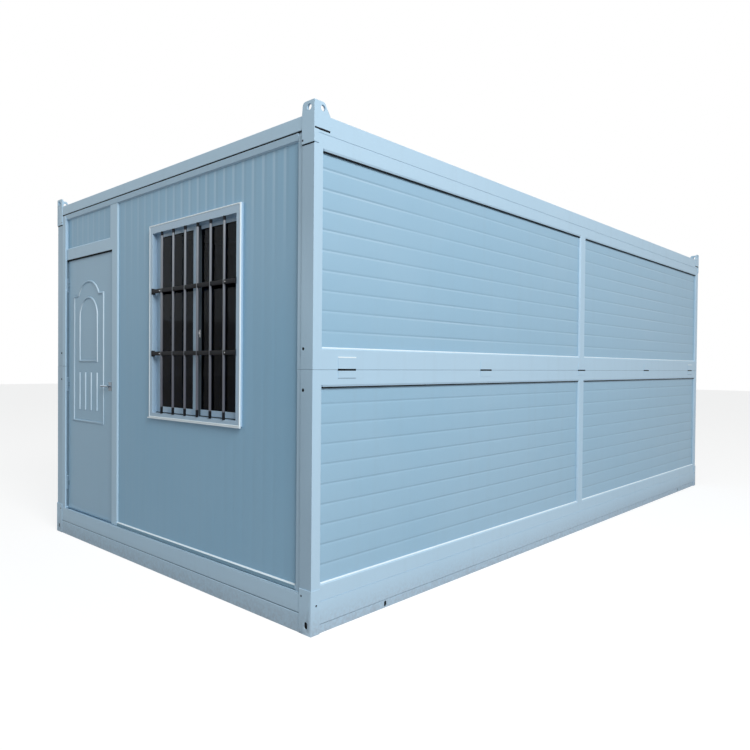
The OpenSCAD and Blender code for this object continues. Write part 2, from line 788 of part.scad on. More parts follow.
// One side of the lever handle: a plate, a neck and a lever towards the hinges.
module lever_set() {
    half = [handle_plate_w, handle_plate_h] / 2;
    block([-half.x, -handle_plate_t, -half.y], [half.x, 0, half.y]);
    rotate([90, 0, 0]) cylinder(r = lever_r, h = handle_reach - lever_r);
    translate([0, lever_r - handle_reach, 0]) {
        rotate([0, -90, 0]) cylinder(r = lever_r, h = lever_l);
        sphere(r = lever_r);
        translate([-lever_l, 0, 0]) sphere(r = lever_r);
    }
}

module door_handle() {
    x = door_x + door_w - handle_inset;
    z = door_z + handle_z;
    translate([x, door_d, z]) lever_set();
    translate([x, door_d + door_t, z]) mirror([0, 1, 0]) lever_set();
}

// ------------------------------------------------------------------- nodes

module frame_paint() {
    color("lightsteelblue") children();
}

module panel_paint() {
    color("lightblue") children();
}

module white_plastic() {
    color("white") children();
}

module zinc() {
    color("slategray") children();
}

frame_paint() base_side_beam();  // base_beam_right
frame_paint() mirror([1, 0, 0]) base_side_beam();  // base_beam_left
frame_paint() at_front() base_end_beam();  // base_beam_front
frame_paint() at_back() base_end_beam();  // base_beam_back
frame_paint() at_front() base_corner();  // base_corner_front_right
frame_paint() at_front() mirror([1, 0, 0]) base_corner();  // base_corner_front_left
frame_paint() at_back() base_corner();  // base_corner_back_right
frame_paint() at_back() mirror([1, 0, 0]) base_corner();  // base_corner_back_left
zinc() floor_joists();
color("burlywood") floor_board();
frame_paint() roof_side_beam();  // roof_beam_right
frame_paint() mirror([1, 0, 0]) roof_side_beam();  // roof_beam_left
frame_paint() at_front() roof_end_beam();  // roof_beam_front
frame_paint() at_back() roof_end_beam();  // roof_beam_back
frame_paint() at_front() roof_corner();  // roof_corner_front_right
frame_paint() at_front() mirror([1, 0, 0]) roof_corner();  // roof_corner_front_left
frame_paint() at_back() roof_corner();  // roof_corner_back_right
frame_paint() at_back() mirror([1, 0, 0]) roof_corner();  // roof_corner_back_left
frame_paint() roof_sheet();
color("whitesmoke") ceiling();
frame_paint() side_lower_frame();  // right_lower_frame
frame_paint() side_upper_frame();  // right_upper_frame
panel_paint() side_panels();  // right_wall_panels
frame_paint() fold_hinges();  // right_fold_hinges
frame_paint() mirror([1, 0, 0]) side_lower_frame();  // left_lower_frame
frame_paint() mirror([1, 0, 0]) side_upper_frame();  // left_upper_frame
panel_paint() mirror([1, 0, 0]) side_panels();  // left_wall_panels
frame_paint() mirror([1, 0, 0]) fold_hinges();  // left_fold_hinges
zinc() {  // swing_hinge_pins
    at_front() swing_pins();
    at_back() swing_pins();
}
frame_paint() at_front() front_wall_frame();
panel_paint() at_front() front_wall_panel();
panel_paint() at_front() transom_panel();
zinc() at_front() swing_leaves();  // front_swing_leaves
white_plastic() at_front() window_frame();
white_plastic() at_front() sash(sash_x0, sash_d0);  // window_sash_left
white_plastic() at_front() sash(sash_x1 - sash_w, sash_d1);  // window_sash_right
color("dimgray") at_front() {  // window_glass
    pane(sash_x0, sash_d0);
    pane(sash_x1 - sash_w, sash_d1);
}
frame_paint() at_back() back_wall_frame();
panel_paint() at_back() back_wall_panel();
zinc() at_back() swing_leaves();  // back_swing_leaves
frame_paint() at_front() door_jamb_pins();
frame_paint() at_front() door_leaf();
frame_paint() at_front() door_hinge_leaves();
color("silver") at_front() door_handle();
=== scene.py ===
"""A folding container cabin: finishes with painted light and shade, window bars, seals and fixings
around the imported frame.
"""
import json
import math
from types import SimpleNamespace

import bmesh
import bpy
import numpy as np
from mathutils import Matrix, Vector


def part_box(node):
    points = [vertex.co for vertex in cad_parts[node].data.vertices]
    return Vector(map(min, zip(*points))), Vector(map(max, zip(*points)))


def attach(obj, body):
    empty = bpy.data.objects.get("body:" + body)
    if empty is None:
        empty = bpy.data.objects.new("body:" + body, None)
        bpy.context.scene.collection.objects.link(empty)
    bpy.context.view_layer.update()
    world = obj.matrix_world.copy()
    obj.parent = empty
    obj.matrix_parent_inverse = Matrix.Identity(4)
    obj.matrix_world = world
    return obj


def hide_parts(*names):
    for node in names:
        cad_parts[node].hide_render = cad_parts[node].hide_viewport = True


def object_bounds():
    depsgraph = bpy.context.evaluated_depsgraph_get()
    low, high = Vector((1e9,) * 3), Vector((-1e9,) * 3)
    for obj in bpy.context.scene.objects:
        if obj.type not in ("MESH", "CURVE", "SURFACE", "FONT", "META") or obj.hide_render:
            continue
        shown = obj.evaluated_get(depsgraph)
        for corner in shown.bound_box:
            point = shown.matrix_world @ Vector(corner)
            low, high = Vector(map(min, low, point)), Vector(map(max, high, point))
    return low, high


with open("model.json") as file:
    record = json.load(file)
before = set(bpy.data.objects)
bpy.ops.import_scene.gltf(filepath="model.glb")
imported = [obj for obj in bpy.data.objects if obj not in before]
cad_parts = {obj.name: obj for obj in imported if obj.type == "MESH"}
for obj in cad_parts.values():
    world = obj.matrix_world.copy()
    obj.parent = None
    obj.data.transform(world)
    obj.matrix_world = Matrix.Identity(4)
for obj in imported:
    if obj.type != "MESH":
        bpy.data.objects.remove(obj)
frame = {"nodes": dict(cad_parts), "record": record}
cad_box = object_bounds()
NODES = frame["nodes"]
SCENE = bpy.context.scene
MM = 0.001


def metres(length):
    """A length in millimetres, or a nest of such lengths, in metres."""
    return tuple(metres(part) for part in length) if isinstance(length, tuple) else length * MM


def sizes(**lengths):
    """Lengths kept under one name, given in millimetres and held in metres."""
    return SimpleNamespace(**{name: metres(length) for name, length in lengths.items()})


# ---- colours

FRAME_BLUE = (0.465, 0.653, 0.805)
PANEL_BLUE = (0.31, 0.508, 0.665)
END_BLUE = (0.247, 0.462, 0.64)
DOOR_BLUE = (0.318, 0.512, 0.67)
LOW_TONE = (0.33, 0.36, 0.41)
FADED = (0.80, 0.86, 0.90)
STREAKED = (0.30, 0.36, 0.40)
WHITE_FRAME = (0.37, 0.53, 0.68)
# painted highlight: a whiter plastic for lit edges and bevels
HIGHLIGHT_WHITE = (0.82, 0.92, 0.97)
# painted shade where the sashes meet
INTERLOCK_SHADE_BLACK = (0.05, 0.07, 0.09)
BAR_BLACK = (0.004, 0.005, 0.008)
# black for the real gaskets, also painted shade in holes, slots and gaps
RUBBER_AND_SHADE_BLACK = (0.012, 0.013, 0.015)
ZINC = (0.52, 0.54, 0.55)
BOARD = (0.26, 0.17, 0.10)
CEILING_WHITE = (0.72, 0.74, 0.75)
STEEL = (0.72, 0.84, 0.95)
PANE_BLUE = (0.08, 0.12, 0.20)
TUBE_BLACK = (0.088, 0.094, 0.122)
BRIGHT = (0.75, 0.76, 0.78)
SCREW_GREY = (0.05, 0.06, 0.08)
# painted shade in the door's reveal and the base's groove
REVEAL_SHADE_BLUE = (0.13, 0.21, 0.28)
# painted shade on the flanks of ribs that lean away from the light
PAINTED_SHADE_BLUE = (0.12, 0.20, 0.28)
# painted light: the frame's blue brightened for the drip, against the shade on its downward slope
DRIP_LIT_BLUE = (0.58, 0.80, 0.97)
BAND_BLUE = (0.2, 0.34, 0.44)
# painted highlight on the flanks of ribs that lean towards the light
PAINTED_HIGHLIGHT_WHITE = (0.82, 0.92, 0.98)
# painted shade on the door lever where it faces down
UNDERSIDE_SHADE = (0.02, 0.03, 0.045)
# painted shade: a darker blue for the door's hinges, which sit in the reveal's shade
HINGE_SHADE_BLUE = (0.17, 0.28, 0.38)
# the fold seals' colour, also painted shadow under the hinges
FOLD_SEAL_AND_SHADOW = (0.30, 0.43, 0.54)


# ---- surfaces from arrays

def grid_faces(rows, cols, wrap_rows, wrap_cols, start):
    """Quads between neighbours of a rows by cols grid whose first vertex is number start."""
    i = np.arange(rows if wrap_rows else rows - 1)[:, None]
    j = np.arange(cols if wrap_cols else cols - 1)[None, :]
    i2, j2 = (i + 1) % rows, (j + 1) % cols
    quads = np.stack([i * cols + j, i * cols + j2, i2 * cols + j2, i2 * cols + j], axis=-1)
    return (quads.reshape(-1, 4) + start).tolist()


def new_object(name, data):
    """An object linked to the scene."""
    thing = bpy.data.objects.new(name, data)
    bpy.context.collection.objects.link(thing)
    return thing


def placed_mesh(name, mesh, material, body):
    """An object of one material that rides a body and takes its finish from a slot."""
    mesh.materials.append(material)
    piece = new_object(name, mesh)
    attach(piece, body)
    return piece


def make_piece(name, patches, material, body, smooth):
    """One object from patches: each is a grid of points, and whether it closes along each way.

    A patch whose rows close gets a flat cap on its first and last row.
    """
    points, faces, count = [], [], 0
    for grid, wrap_rows, wrap_cols in patches:
        rows, cols = grid.shape[:2]
        points.append(grid.reshape(-1, 3))
        faces += grid_faces(rows, cols, wrap_rows, wrap_cols, count)
        if wrap_cols and not wrap_rows:
            faces.append(list(range(count, count + cols))[::-1])
            faces.append(list(range(count + (rows - 1) * cols, count + rows * cols)))
        count += rows * cols
    mesh = bpy.data.meshes.new(name)
    mesh.from_pydata(np.concatenate(points).tolist(), [], faces)
    shell = bmesh.new()
    shell.from_mesh(mesh)
    bmesh.ops.recalc_face_normals(shell, faces=shell.faces)
    shell.to_mesh(mesh)
    shell.free()
    mesh.polygons.foreach_set("use_smooth", np.full(len(mesh.polygons), smooth))
    return placed_mesh(name, mesh, material, body)


def flat_piece(name, patches, material, body="cabin"):
    """A piece whose faces are shaded flat."""
    make_piece(name, patches, material, body, False)


def round_piece(name, patches, material, body, degrees=35):
    """A piece shaded smooth, sharp only where faces meet at more than the given angle."""
    piece = make_piece(name, patches, material, body, True)
    piece.data.set_sharp_from_angle(angle=math.radians(degrees))


def bar(start, end, section, up=(0, 0, 1)):
    """A straight bar: the section's points (across, up) carried from start to end."""
    start, end = np.array(start, float), np.array(end, float)
    along = (end - start) / np.linalg.norm(end - start)
    across = np.cross(along, up)
    across /= np.linalg.norm(across)
    lift = np.cross(across, along)
    ring = section[:, :1] * across + section[:, 1:] * lift
    return np.stack([start + ring, end + ring]), False, True


def round_section(radius, sides=16):
    """A circle of the given radius as points (across, up)."""
    t = np.linspace(0, 2 * np.pi, sides, endpoint=False)
    return radius * np.stack([np.cos(t), np.sin(t)], axis=1)


def flat_section(width, height, corner, steps=3):
    """A rectangle with rounded corners as points (across, up): a quarter arc about each corner."""
    t = np.linspace(0, np.pi / 2, steps)
    quarters = []
    for k, (sx, sy) in enumerate(((1, 1), (-1, 1), (-1, -1), (1, -1))):
        centre = np.array([sx * (width / 2 - corner), sy * (height / 2 - corner)])
        angle = t + k * np.pi / 2
        quarters.append(centre + corner * np.stack([np.cos(angle), np.sin(angle)], axis=1))
    return np.concatenate(quarters)


def turned(profile, place, axis, sides=12):
    """A solid of revolution: profile points (radius, height) turned about an axis through place."""
    axis = np.array(axis, float) / np.linalg.norm(axis)
    helper = np.array([0, 0, 1.0]) if abs(axis[2]) < 0.9 else np.array([1.0, 0, 0])
    u = np.cross(axis, helper)
    u /= np.linalg.norm(u)
    v = np.cross(axis, u)
    t = np.linspace(0, 2 * np.pi, sides, endpoint=False)
    ring = np.cos(t)[:, None] * u + np.sin(t)[:, None] * v
    profile = np.array(profile, float)
    grid = np.array(place) + profile[:, :1, None] * ring[None] + profile[:, 1:, None] * axis
    return grid, False, True


def block(low, high):
    """A box between two corners: its foot's four corners carried up to its head."""
    (x0, y0, z0), (x1, y1, z1) = np.minimum(low, high), np.maximum(low, high)
    foot = np.array([(x0, y0, z0), (x1, y0, z0), (x1, y1, z0), (x0, y1, z0)])
    return np.stack([foot, foot + (0, 0, z1 - z0)]), False, True


def carried(section, axis, start, end):
    """A closed section across X (axis 0) or Y (axis 1), carried along it from start to end."""
    ring = np.insert(np.array(section, float), axis, 0.0, axis=1)
    step = np.eye(3)[axis]
    return np.stack([ring + start * step, ring + end * step]), False, True


def upright(x, y, z0, z1, section):
    """An upright bar of the given section from z0 to z1."""
    return bar((x, y, z0), (x, y, z1), section, up=(0, 1, 0))


EVERY_CORNER = [(sx, sy) for sx in (-1, 1) for sy in (-1, 1)]


def mirrored(patches, signs):
    """Patches repeated on every side: signs is a list of (x, y) signs."""
    return [(grid * (sx, sy, 1), rows, cols) for sx, sy in signs for grid, rows, cols in patches]


def screw_head(place, axis, radius):
    """A low domed head with a chamfered rim, turned about the screw's axis."""
    foot, rim, shoulder, crown = -1 * MM, 0.3 * MM, 0.7 * MM, 0.75 * MM
    profile = [(radius, foot), (radius, rim), (0.8 * radius, shoulder), (0.35 * radius, crown)]
    return turned(profile, place, axis, 14)


def corners(node):
    """A node's lowest and highest corner as arrays."""
    return [np.array(corner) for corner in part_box(node)]


# ---- shader groups

FLOAT, COLOUR, VECTOR = "NodeSocketFloat", "NodeSocketColor", "NodeSocketVector"
MID_GREY = (0.5, 0.5, 0.5, 1)


def new_group(name, inputs, outputs):
    """A shader node group; returns it, the sockets of its input node and its output node."""
    group = bpy.data.node_groups.new(name, "ShaderNodeTree")
    for socket, kind, value in inputs:
        made = group.interface.new_socket(name=socket, in_out="INPUT", socket_type=kind)
        made.default_value = value
    for socket, kind in outputs:
        group.interface.new_socket(name=socket, in_out="OUTPUT", socket_type=kind)
    return group, group.nodes.new("NodeGroupInput").outputs, group.nodes.new("NodeGroupOutput")


def plug(tree, socket, value):
    """Links an input to another node's output, or sets it to a number, vector or colour."""
    if isinstance(value, bpy.types.NodeSocket):
        tree.links.new(value, socket)
    else:
        socket.default_value = value


def feed(tree, node, **values):
    """Plugs values into the inputs that their keywords name."""
    for key, value in values.items():
        plug(tree, node.inputs[key.replace("_", " ")], value)


def add(tree, kind, **settings):
    """A new shader node of a kind; a setting that isn't the node's own feeds an input."""
    node = tree.nodes.new("ShaderNode" + kind)
    for key, value in settings.items():
        if hasattr(node, key):
            setattr(node, key, value)
        else:
            feed(tree, node, **{key: value})
    return node


def maths(tree, operation, *values, clamp=False):
    """A Math node on sockets or numbers; returns its output."""
    node = add(tree, "Math", operation=operation, use_clamp=clamp)
    for socket, value in zip(node.inputs, values):
        plug(tree, socket, value)
    return node.outputs[0]


def mapped(tree, value, low, high, to_low=0.0, to_high=1.0):
    """A Map Range node, clamped; returns its output."""
    bounds = {"From_Min": low, "From_Max": high, "To_Min": to_low, "To_Max": to_high}
    return add(tree, "MapRange", Value=value, **bounds).outputs["Result"]


def mixed(tree, factor, a, b):
    """A colour Mix node; each of a and b is a socket or a colour."""
    node = add(tree, "Mix", data_type="RGBA")
    for k, value in ((0, factor), (6, a), (7, b)):
        plug(tree, node.inputs[k], (*value, 1) if isinstance(value, tuple) else value)
    return node.outputs[2]


def noise(tree, place, scale, detail, stretch=(1, 1, 1)):
    """Noise on object coordinates, stretched along the axes; returns its factor."""
    drawn = add(tree, "Mapping", Scale=stretch, Vector=place).outputs["Vector"]
    node = add(tree, "TexNoise", Vector=drawn, Scale=scale, Detail=detail, Roughness=0.55)
    return node.outputs["Fac"]


def build_weather():
    """Group: fades a paint in broad patches, runs faint streaks down it and darkens its lowest part.
    """
    group, entry, leave = new_group(
        "weather",
        [("Colour", COLOUR, MID_GREY), ("Patches", FLOAT, 0.06), ("Streaks", FLOAT, 0.08),
         ("Dust", FLOAT, 0.0), ("Dust height", FLOAT, 0.35), ("Roughness", FLOAT, 0.35)],
        [("Colour", COLOUR), ("Roughness", FLOAT)])
    place = add(group, "TexCoord").outputs["Object"]
    patches = noise(group, place, scale=0.9, detail=4.0)
    streaks = noise(group, place, scale=14.0, detail=4.0, stretch=(1.0, 1.0, 0.05))
    specks = noise(group, place, scale=60.0, detail=5.0)
    split = add(group, "SeparateXYZ", Vector=place)
    low = maths(group, "DIVIDE", split.outputs["Z"], entry["Dust height"])
    near_ground = mapped(group, low, 0.0, 1.0, to_low=1.0, to_high=0.0)
    patch_mask = maths(group, "MULTIPLY", mapped(group, patches, 0.42, 0.66), entry["Patches"])
    streak_mask = maths(group, "MULTIPLY", mapped(group, streaks, 0.52, 0.72), entry["Streaks"])
    # the lowest part of the paint darkens in specks, fully at the foot
    low_speckled = maths(group, "MULTIPLY", near_ground, mapped(group, specks, 0.35, 0.65, to_low=0.35))
    low_mask = maths(group, "MULTIPLY", low_speckled, entry["Dust"])
    faded = mixed(group, patch_mask, entry["Colour"], FADED)
    streaked = mixed(group, streak_mask, faded, STREAKED)
    dirt = maths(group, "ADD", maths(group, "MULTIPLY", streak_mask, 0.6), low_mask, clamp=True)
    dulled = maths(group, "MULTIPLY", dirt, 0.5)
    rough = maths(group, "ADD", entry["Roughness"], dulled, clamp=True)
    feed(group, leave, Colour=mixed(group, low_mask, streaked, LOW_TONE), Roughness=rough)
    return group


def build_skin():
    """Group: the height of painted sheet steel, a fine orange peel over slow waves and dents."""
    group, entry, leave = new_group(
        "sheet_skin",
        [("Peel", FLOAT, 0.1), ("Waves", FLOAT, 1.0), ("Wave size", FLOAT, 1.6)],
        [("Height", FLOAT)])
    place = add(group, "TexCoord").outputs["Object"]
    grain = noise(group, place, scale=420.0, detail=2.0)
    peel = maths(group, "MULTIPLY", grain, entry["Peel"])
    broad = add(
        group, "TexNoise", Vector=place, Scale=entry["Wave size"], Detail=1.0, Roughness=0.4)
    waves = maths(group, "MULTIPLY", broad.outputs["Fac"], entry["Waves"])
    feed(group, leave, Height=maths(group, "ADD", peel, waves))
    return group


def build_painted_flank_light():
    """Group: painted shade on the rib flanks that face one way, a painted highlight on those facing
    the other.

    How far a face leans along one axis, over Steep, tells which flank it is. The tint is full above
    High, falls to its floor at Low, and comes and goes in broad patches.
    """
    group, entry, leave = new_group(
        "painted_flank_light",
        [("Colour", COLOUR, MID_GREY), ("Along", VECTOR, (0, 0, 1)), ("Steep", FLOAT, 0.2),
         ("Light", FLOAT, 0.2), ("Dark", FLOAT, 0.2), ("Low", FLOAT, 1.1), ("High", FLOAT, 1.5),
         ("Floor", FLOAT, 0.0), ("Grime floor", FLOAT, 0.0)],
        [("Colour", COLOUR)])
    coords = add(group, "TexCoord")
    tilt = add(group, "VectorMath", operation="DOT_PRODUCT")
    plug(group, tilt.inputs[0], coords.outputs["Normal"])
    plug(group, tilt.inputs[1], entry["Along"])
    lean = maths(group, "DIVIDE", tilt.outputs["Value"], entry["Steep"])
    split = add(group, "SeparateXYZ", Vector=coords.outputs["Object"])
    above = maths(group, "SUBTRACT", split.outputs["Z"], entry["Low"])
    band = maths(group, "SUBTRACT", entry["High"], entry["Low"])
    rise = maths(group, "DIVIDE", above, band, clamp=True)
    blotches = noise(group, coords.outputs["Object"], scale=0.8, detail=2.0)
    uneven = mapped(group, blotches, 0.36, 0.6, to_low=0.25)

    def share(floor):
        """How strongly a flank is tinted at its height, and never less than the named floor."""
        return maths(group, "MULTIPLY", maths(group, "MAXIMUM", rise, entry[floor]), uneven)

    # painted highlight on flanks leaning along the axis, painted shade on those leaning against it
    highlight_strength = maths(group, "MULTIPLY", mapped(group, lean, 0.3, 1.0), entry["Light"])
    shade_lean = mapped(group, lean, -1.0, -0.3, to_low=1.0, to_high=0.0)
    shade_strength = maths(group, "MULTIPLY", shade_lean, entry["Dark"])
    shade_share = maths(group, "MULTIPLY", shade_strength, share("Grime floor"))
    darker = mixed(group, shade_share, entry["Colour"], PAINTED_SHADE_BLUE)
    lighter = mixed(group, maths(group, "MULTIPLY", highlight_strength, share("Floor")), darker, PAINTED_HIGHLIGHT_WHITE)
    feed(group, leave, Colour=lighter)
    return group


WEATHER = build_weather()
SKIN = build_skin()
PAINTED_FLANK_LIGHT = build_painted_flank_light()


# ---- materials

SHEET_PEEL = 0.1
SHEET_RELIEF = 1.2 * MM
PLASTIC_RELIEF = 0.5 * MM
PANE_RELIEF = 0.4 * MM


def placed(tree, group, **values):
    """A group node with its own input values."""
    return add(tree, "Group", node_tree=group, **values)


def new_material(name, **settings):
    """A material with a Principled shader; returns it, its tree and the shader."""
    material = bpy.data.materials.new(name)
    material.use_nodes = True
    shader = material.node_tree.nodes["Principled BSDF"]
    feed(material.node_tree, shader, **settings)
    return material, material.node_tree, shader


def coated(name, colour, roughness, weather, skin, relief, painted_flanks, **settings):
    """A coat: weathered colour and roughness, a skin as bump and, if asked, painted light and shade on
    rib flanks.
    """
    material, tree, shader = new_material(name, **settings)
    worn = placed(tree, WEATHER, Colour=(*colour, 1), Roughness=roughness, **weather).outputs
    height = placed(tree, SKIN, **skin).outputs["Height"]
    bump = add(tree, "Bump", Strength=1.0, Distance=relief, Height=height)
    paint = worn["Colour"]
    if painted_flanks:
        paint = placed(tree, PAINTED_FLANK_LIGHT, Colour=paint, **painted_flanks).outputs["Colour"]
    feed(tree, shader, Base_Color=paint, Roughness=worn["Roughness"], Normal=bump.outputs["Normal"])
    return material


def painted_steel(name, colour, roughness, waves=1.0, wave_size=1.6, painted_flanks=None, **weather):
    """Painted sheet steel: a fine orange peel over slow waves, faded, streaked and darker towards the
    bottom.
    """
    skin = {"Peel": SHEET_PEEL, "Waves": waves, "Wave_size": wave_size}
    return coated(name, colour, roughness, weather, skin, SHEET_RELIEF, painted_flanks,
                  Metallic=0.0, Specular_IOR_Level=0.45)


def plastic(name, colour, roughness, grain, shine=0.5, dirt=0.05, painted_flanks=None):
    """Moulded or extruded plastic: a faint grain and patches, and a little dirt in streaks."""
    weather = {"Patches": 0.6 * dirt, "Streaks": dirt}
    skin = {"Peel": grain, "Waves": 0.0}
    return coated(name, colour, roughness, weather, skin, PLASTIC_RELIEF, painted_flanks,
                  Specular_IOR_Level=shine)


# Painted light and shade on the side panels' ribs: shade on flanks facing down, a highlight on those
# facing up, mostly high up.
SIDE_RIB_SHADING = {"Along": (0, 0, 1), "Steep": 0.16, "Light": 0.16, "Dark": 0.3, "Low": 1.2, "High": 1.5,
             "Floor": 0.1, "Grime_floor": 0.9}
# Painted light and shade on the end panels' flutes: a highlight on flanks facing +X, shade on those
# facing -X, towards the top.
END_RIB_SHADING = {"Along": (1, 0, 0), "Steep": 0.02, "Light": 0.17, "Dark": 0.1, "Low": 1.7, "High": 2.4}
# Painted highlights on the door's raised lines, on flanks facing +X, with a little painted shade on
# those facing -X.
DOOR_LINE_HIGHLIGHTS = {"Along": (1, 0, 0), "Steep": 0.6, "Light": 0.85, "Dark": 0.15, "Floor": 1.0}
# A painted highlight down the side of each window tube that faces +X and -Y, stronger higher up.
TUBE_HIGHLIGHT = {"Along": (0.6, -0.8, 0), "Steep": 0.8, "Light": 0.24, "Dark": 0.0, "Low": 1.2,
              "High": 2.1}
# Painted shade on the long walls' frame faces that look towards -Y.
STILE_END_SHADE = {"Along": (0, 1, 0), "Steep": 0.9, "Light": 0.0, "Dark": 0.29, "Grime_floor": 1.0}
FRAME_COAT = {"waves": 0.4, "Patches": 0.05, "Streaks": 0.05, "Dust": 0.6, "Dust_height": 0.14}

FRAME_PAINT = painted_steel("frame_paint", FRAME_BLUE, 0.45, **FRAME_COAT)
# Frame paint with painted shade on its faces towards -Y.
STILE_END_SHADED_PAINT = painted_steel("stile_paint_end_shade", FRAME_BLUE, 0.45, painted_flanks=STILE_END_SHADE, **FRAME_COAT)
# Painted light: a brighter copy of the frame paint for the drip.
DRIP_LIT_PAINT = painted_steel("drip_paint_painted_light", DRIP_LIT_BLUE, 0.45, **{**FRAME_COAT, "Dust": 0.0})
# Side panel paint, carrying the painted light and shade of its ribs.
SIDE_SKIN = painted_steel(
    "side_panel_skin", PANEL_BLUE, 0.42, waves=1.6, painted_flanks=SIDE_RIB_SHADING,
    Patches=0.05, Streaks=0.06, Dust=0.1)
# End panel paint, carrying the painted light and shade of its flutes.
END_SKIN = painted_steel(
    "end_panel_skin", END_BLUE, 0.42, waves=1.2, painted_flanks=END_RIB_SHADING,
    Patches=0.04, Streaks=0.05, Dust=0.15)
# Door moulding paint, carrying those painted highlights.
DOOR_RAISED = painted_steel(
    "door_raised_paint", DOOR_BLUE, 0.3, waves=0.2, painted_flanks=DOOR_LINE_HIGHLIGHTS,
    Patches=0.04, Streaks=0.02)
# Painted shade: darker paint for the door's hinges.
HINGE_SHADE_PAINT = painted_steel("hinge_paint_painted_shade", HINGE_SHADE_BLUE, 0.4, waves=0.2, Patches=0.04, Streaks=0.02)
DOOR_PAINT = painted_steel(
    "door_paint", DOOR_BLUE, 0.4, waves=0.8, wave_size=3.0, Patches=0.04, Streaks=0.05, Dust=0.3)
ZINC_COAT = painted_steel("zinc_coat", ZINC, 0.45, waves=0.2, Patches=0.3, Streaks=0.2)
BOARD_FACE = painted_steel("floor_board_face", BOARD, 0.55, waves=0.1, Patches=0.2, Streaks=0.0)
CEILING_SKIN = painted_steel("ceiling_skin", CEILING_WHITE, 0.4, waves=0.5)
WHITE_PLASTIC = plastic("window_plastic", WHITE_FRAME, 0.32, grain=0.04)
# Painted highlight: bright plastic for lit edges, bevels and caps.
HIGHLIGHT_PLASTIC = plastic("window_highlight_bead", HIGHLIGHT_WHITE, 0.3, grain=0.02)
# Painted shade: dark strips where the sashes meet.
INTERLOCK_SHADE = plastic("interlock_painted_shade", INTERLOCK_SHADE_BLACK, 0.6, grain=0.1, shine=0.2)
BAR_PAINT = plastic("bar_paint", BAR_BLACK, 0.45, grain=0.12, shine=0.08, dirt=0.01)
# Black tube paint carrying that painted highlight.
TUBE_PAINT = plastic("tube_paint", TUBE_BLACK, 0.3, grain=0.08, shine=0.35, painted_flanks=TUBE_HIGHLIGHT)
# Sealant for the fold gap, also the painted shadow line under the first and last hinges.
SEALANT_AND_SHADOW = plastic("fold_sealant_and_shadow", FOLD_SEAL_AND_SHADOW, 0.5, grain=0.2)
FOOT_BAND = plastic("foot_band", BAND_BLUE, 0.5, grain=0.1, shine=0.3)
# Painted shade: dark strips in the door's reveal and the base's groove.
REVEAL_SHADE = plastic("reveal_painted_shade", REVEAL_SHADE_BLUE, 0.6, grain=0.1, shine=0.2)
# Black rubber for the gaskets, and painted shade in holes, slots and gaps.
RUBBER_AND_PAINTED_SHADE = plastic("seal_rubber_and_painted_shade", RUBBER_AND_SHADE_BLACK, 0.7, grain=0.1, shine=0.05, dirt=0.0)


def satin_steel(name, colour, grain, low, high, shaded_underside=None):
    """Satin steel: fine brushing, stretched by grain, in its colour and its roughness.

    With a shaded underside, its colour runs from that painted shade where it faces down to its own
    where it faces up.
    """
    material, tree, shader = new_material(name, Metallic=1.0)
    coords = add(tree, "TexCoord")
    brushing = noise(tree, coords.outputs["Object"], scale=500.0, detail=2.0, stretch=grain)
    shade = mixed(tree, mapped(tree, brushing, 0.4, 0.6), colour, tuple(0.8 * c for c in colour))
    if shaded_underside:
        split = add(tree, "SeparateXYZ", Vector=coords.outputs["Normal"])
        shade = mixed(tree, mapped(tree, split.outputs["Z"], -0.3, 0.7), shaded_underside, shade)
    feed(tree, shader, Base_Color=shade, Roughness=mapped(tree, brushing, 0.35, 0.65, low, high))
    return material


def window_pane():
    """Clear float glass with a slight blue body and slow waves."""
    material, tree, shader = new_material(
        "window_pane", Base_Color=(*PANE_BLUE, 1), Roughness=0.02, IOR=1.10, Transmission_Weight=1.0)
    place = add(tree, "TexCoord").outputs["Object"]
    waves = noise(tree, place, scale=2.5, detail=1.0)
    bump = add(tree, "Bump", Strength=1.0, Distance=PANE_RELIEF, Height=waves)
    feed(tree, shader, Normal=bump.outputs["Normal"])
    return material


SCREW_STEEL = satin_steel("screw_steel", SCREW_GREY, (1, 1, 1), low=0.35, high=0.5)
# The lever's steel carries painted shade on its underside.
LEVER_STEEL = satin_steel("lever_steel", STEEL, (0.04, 1, 1), low=0.28, high=0.42, shaded_underside=UNDERSIDE_SHADE)
BRIGHT_STEEL = satin_steel("bright_steel", BRIGHT, (1, 1, 1), low=0.2, high=0.3)
PANE = window_pane()

FINISHES = {
    "frame_paint": FRAME_PAINT, "panel_paint": END_SKIN, "door_paint": DOOR_PAINT,
    "joist_zinc": ZINC_COAT, "floor_wood": BOARD_FACE, "ceiling_paint": CEILING_SKIN,
    "window_plastic": WHITE_PLASTIC, "window_glass": PANE, "handle_steel": LEVER_STEEL,
}


# ---- finishes of the frame

SLOT_OF = {part["node"]: part["material_slot"] for part in frame["record"]["subparts"]}
EDGE_RADIUS = {"frame_paint": 2.5 * MM, "window_plastic": 1.5 * MM, "door_paint": 1.5 * MM}
THIN_EDGE_RADIUS = 0.8 * MM
THIN_EDGED = ("front_wall_frame", "back_wall_frame")
DOOR_HINGES = ("door_jamb_pins", "door_hinge_leaves")
KEPT_SHARP = ("right_fold_hinges", "left_fold_hinges", *DOOR_HINGES)
MERGE_DISTANCE = 0.02 * MM
FLAT_DEGREES = 1
EDGE_DEGREES = 40


def give_finish(node, material):
    """Gives a node one material in place of its own."""
    materials = NODES[node].data.materials
    materials.clear()
    materials.append(material)


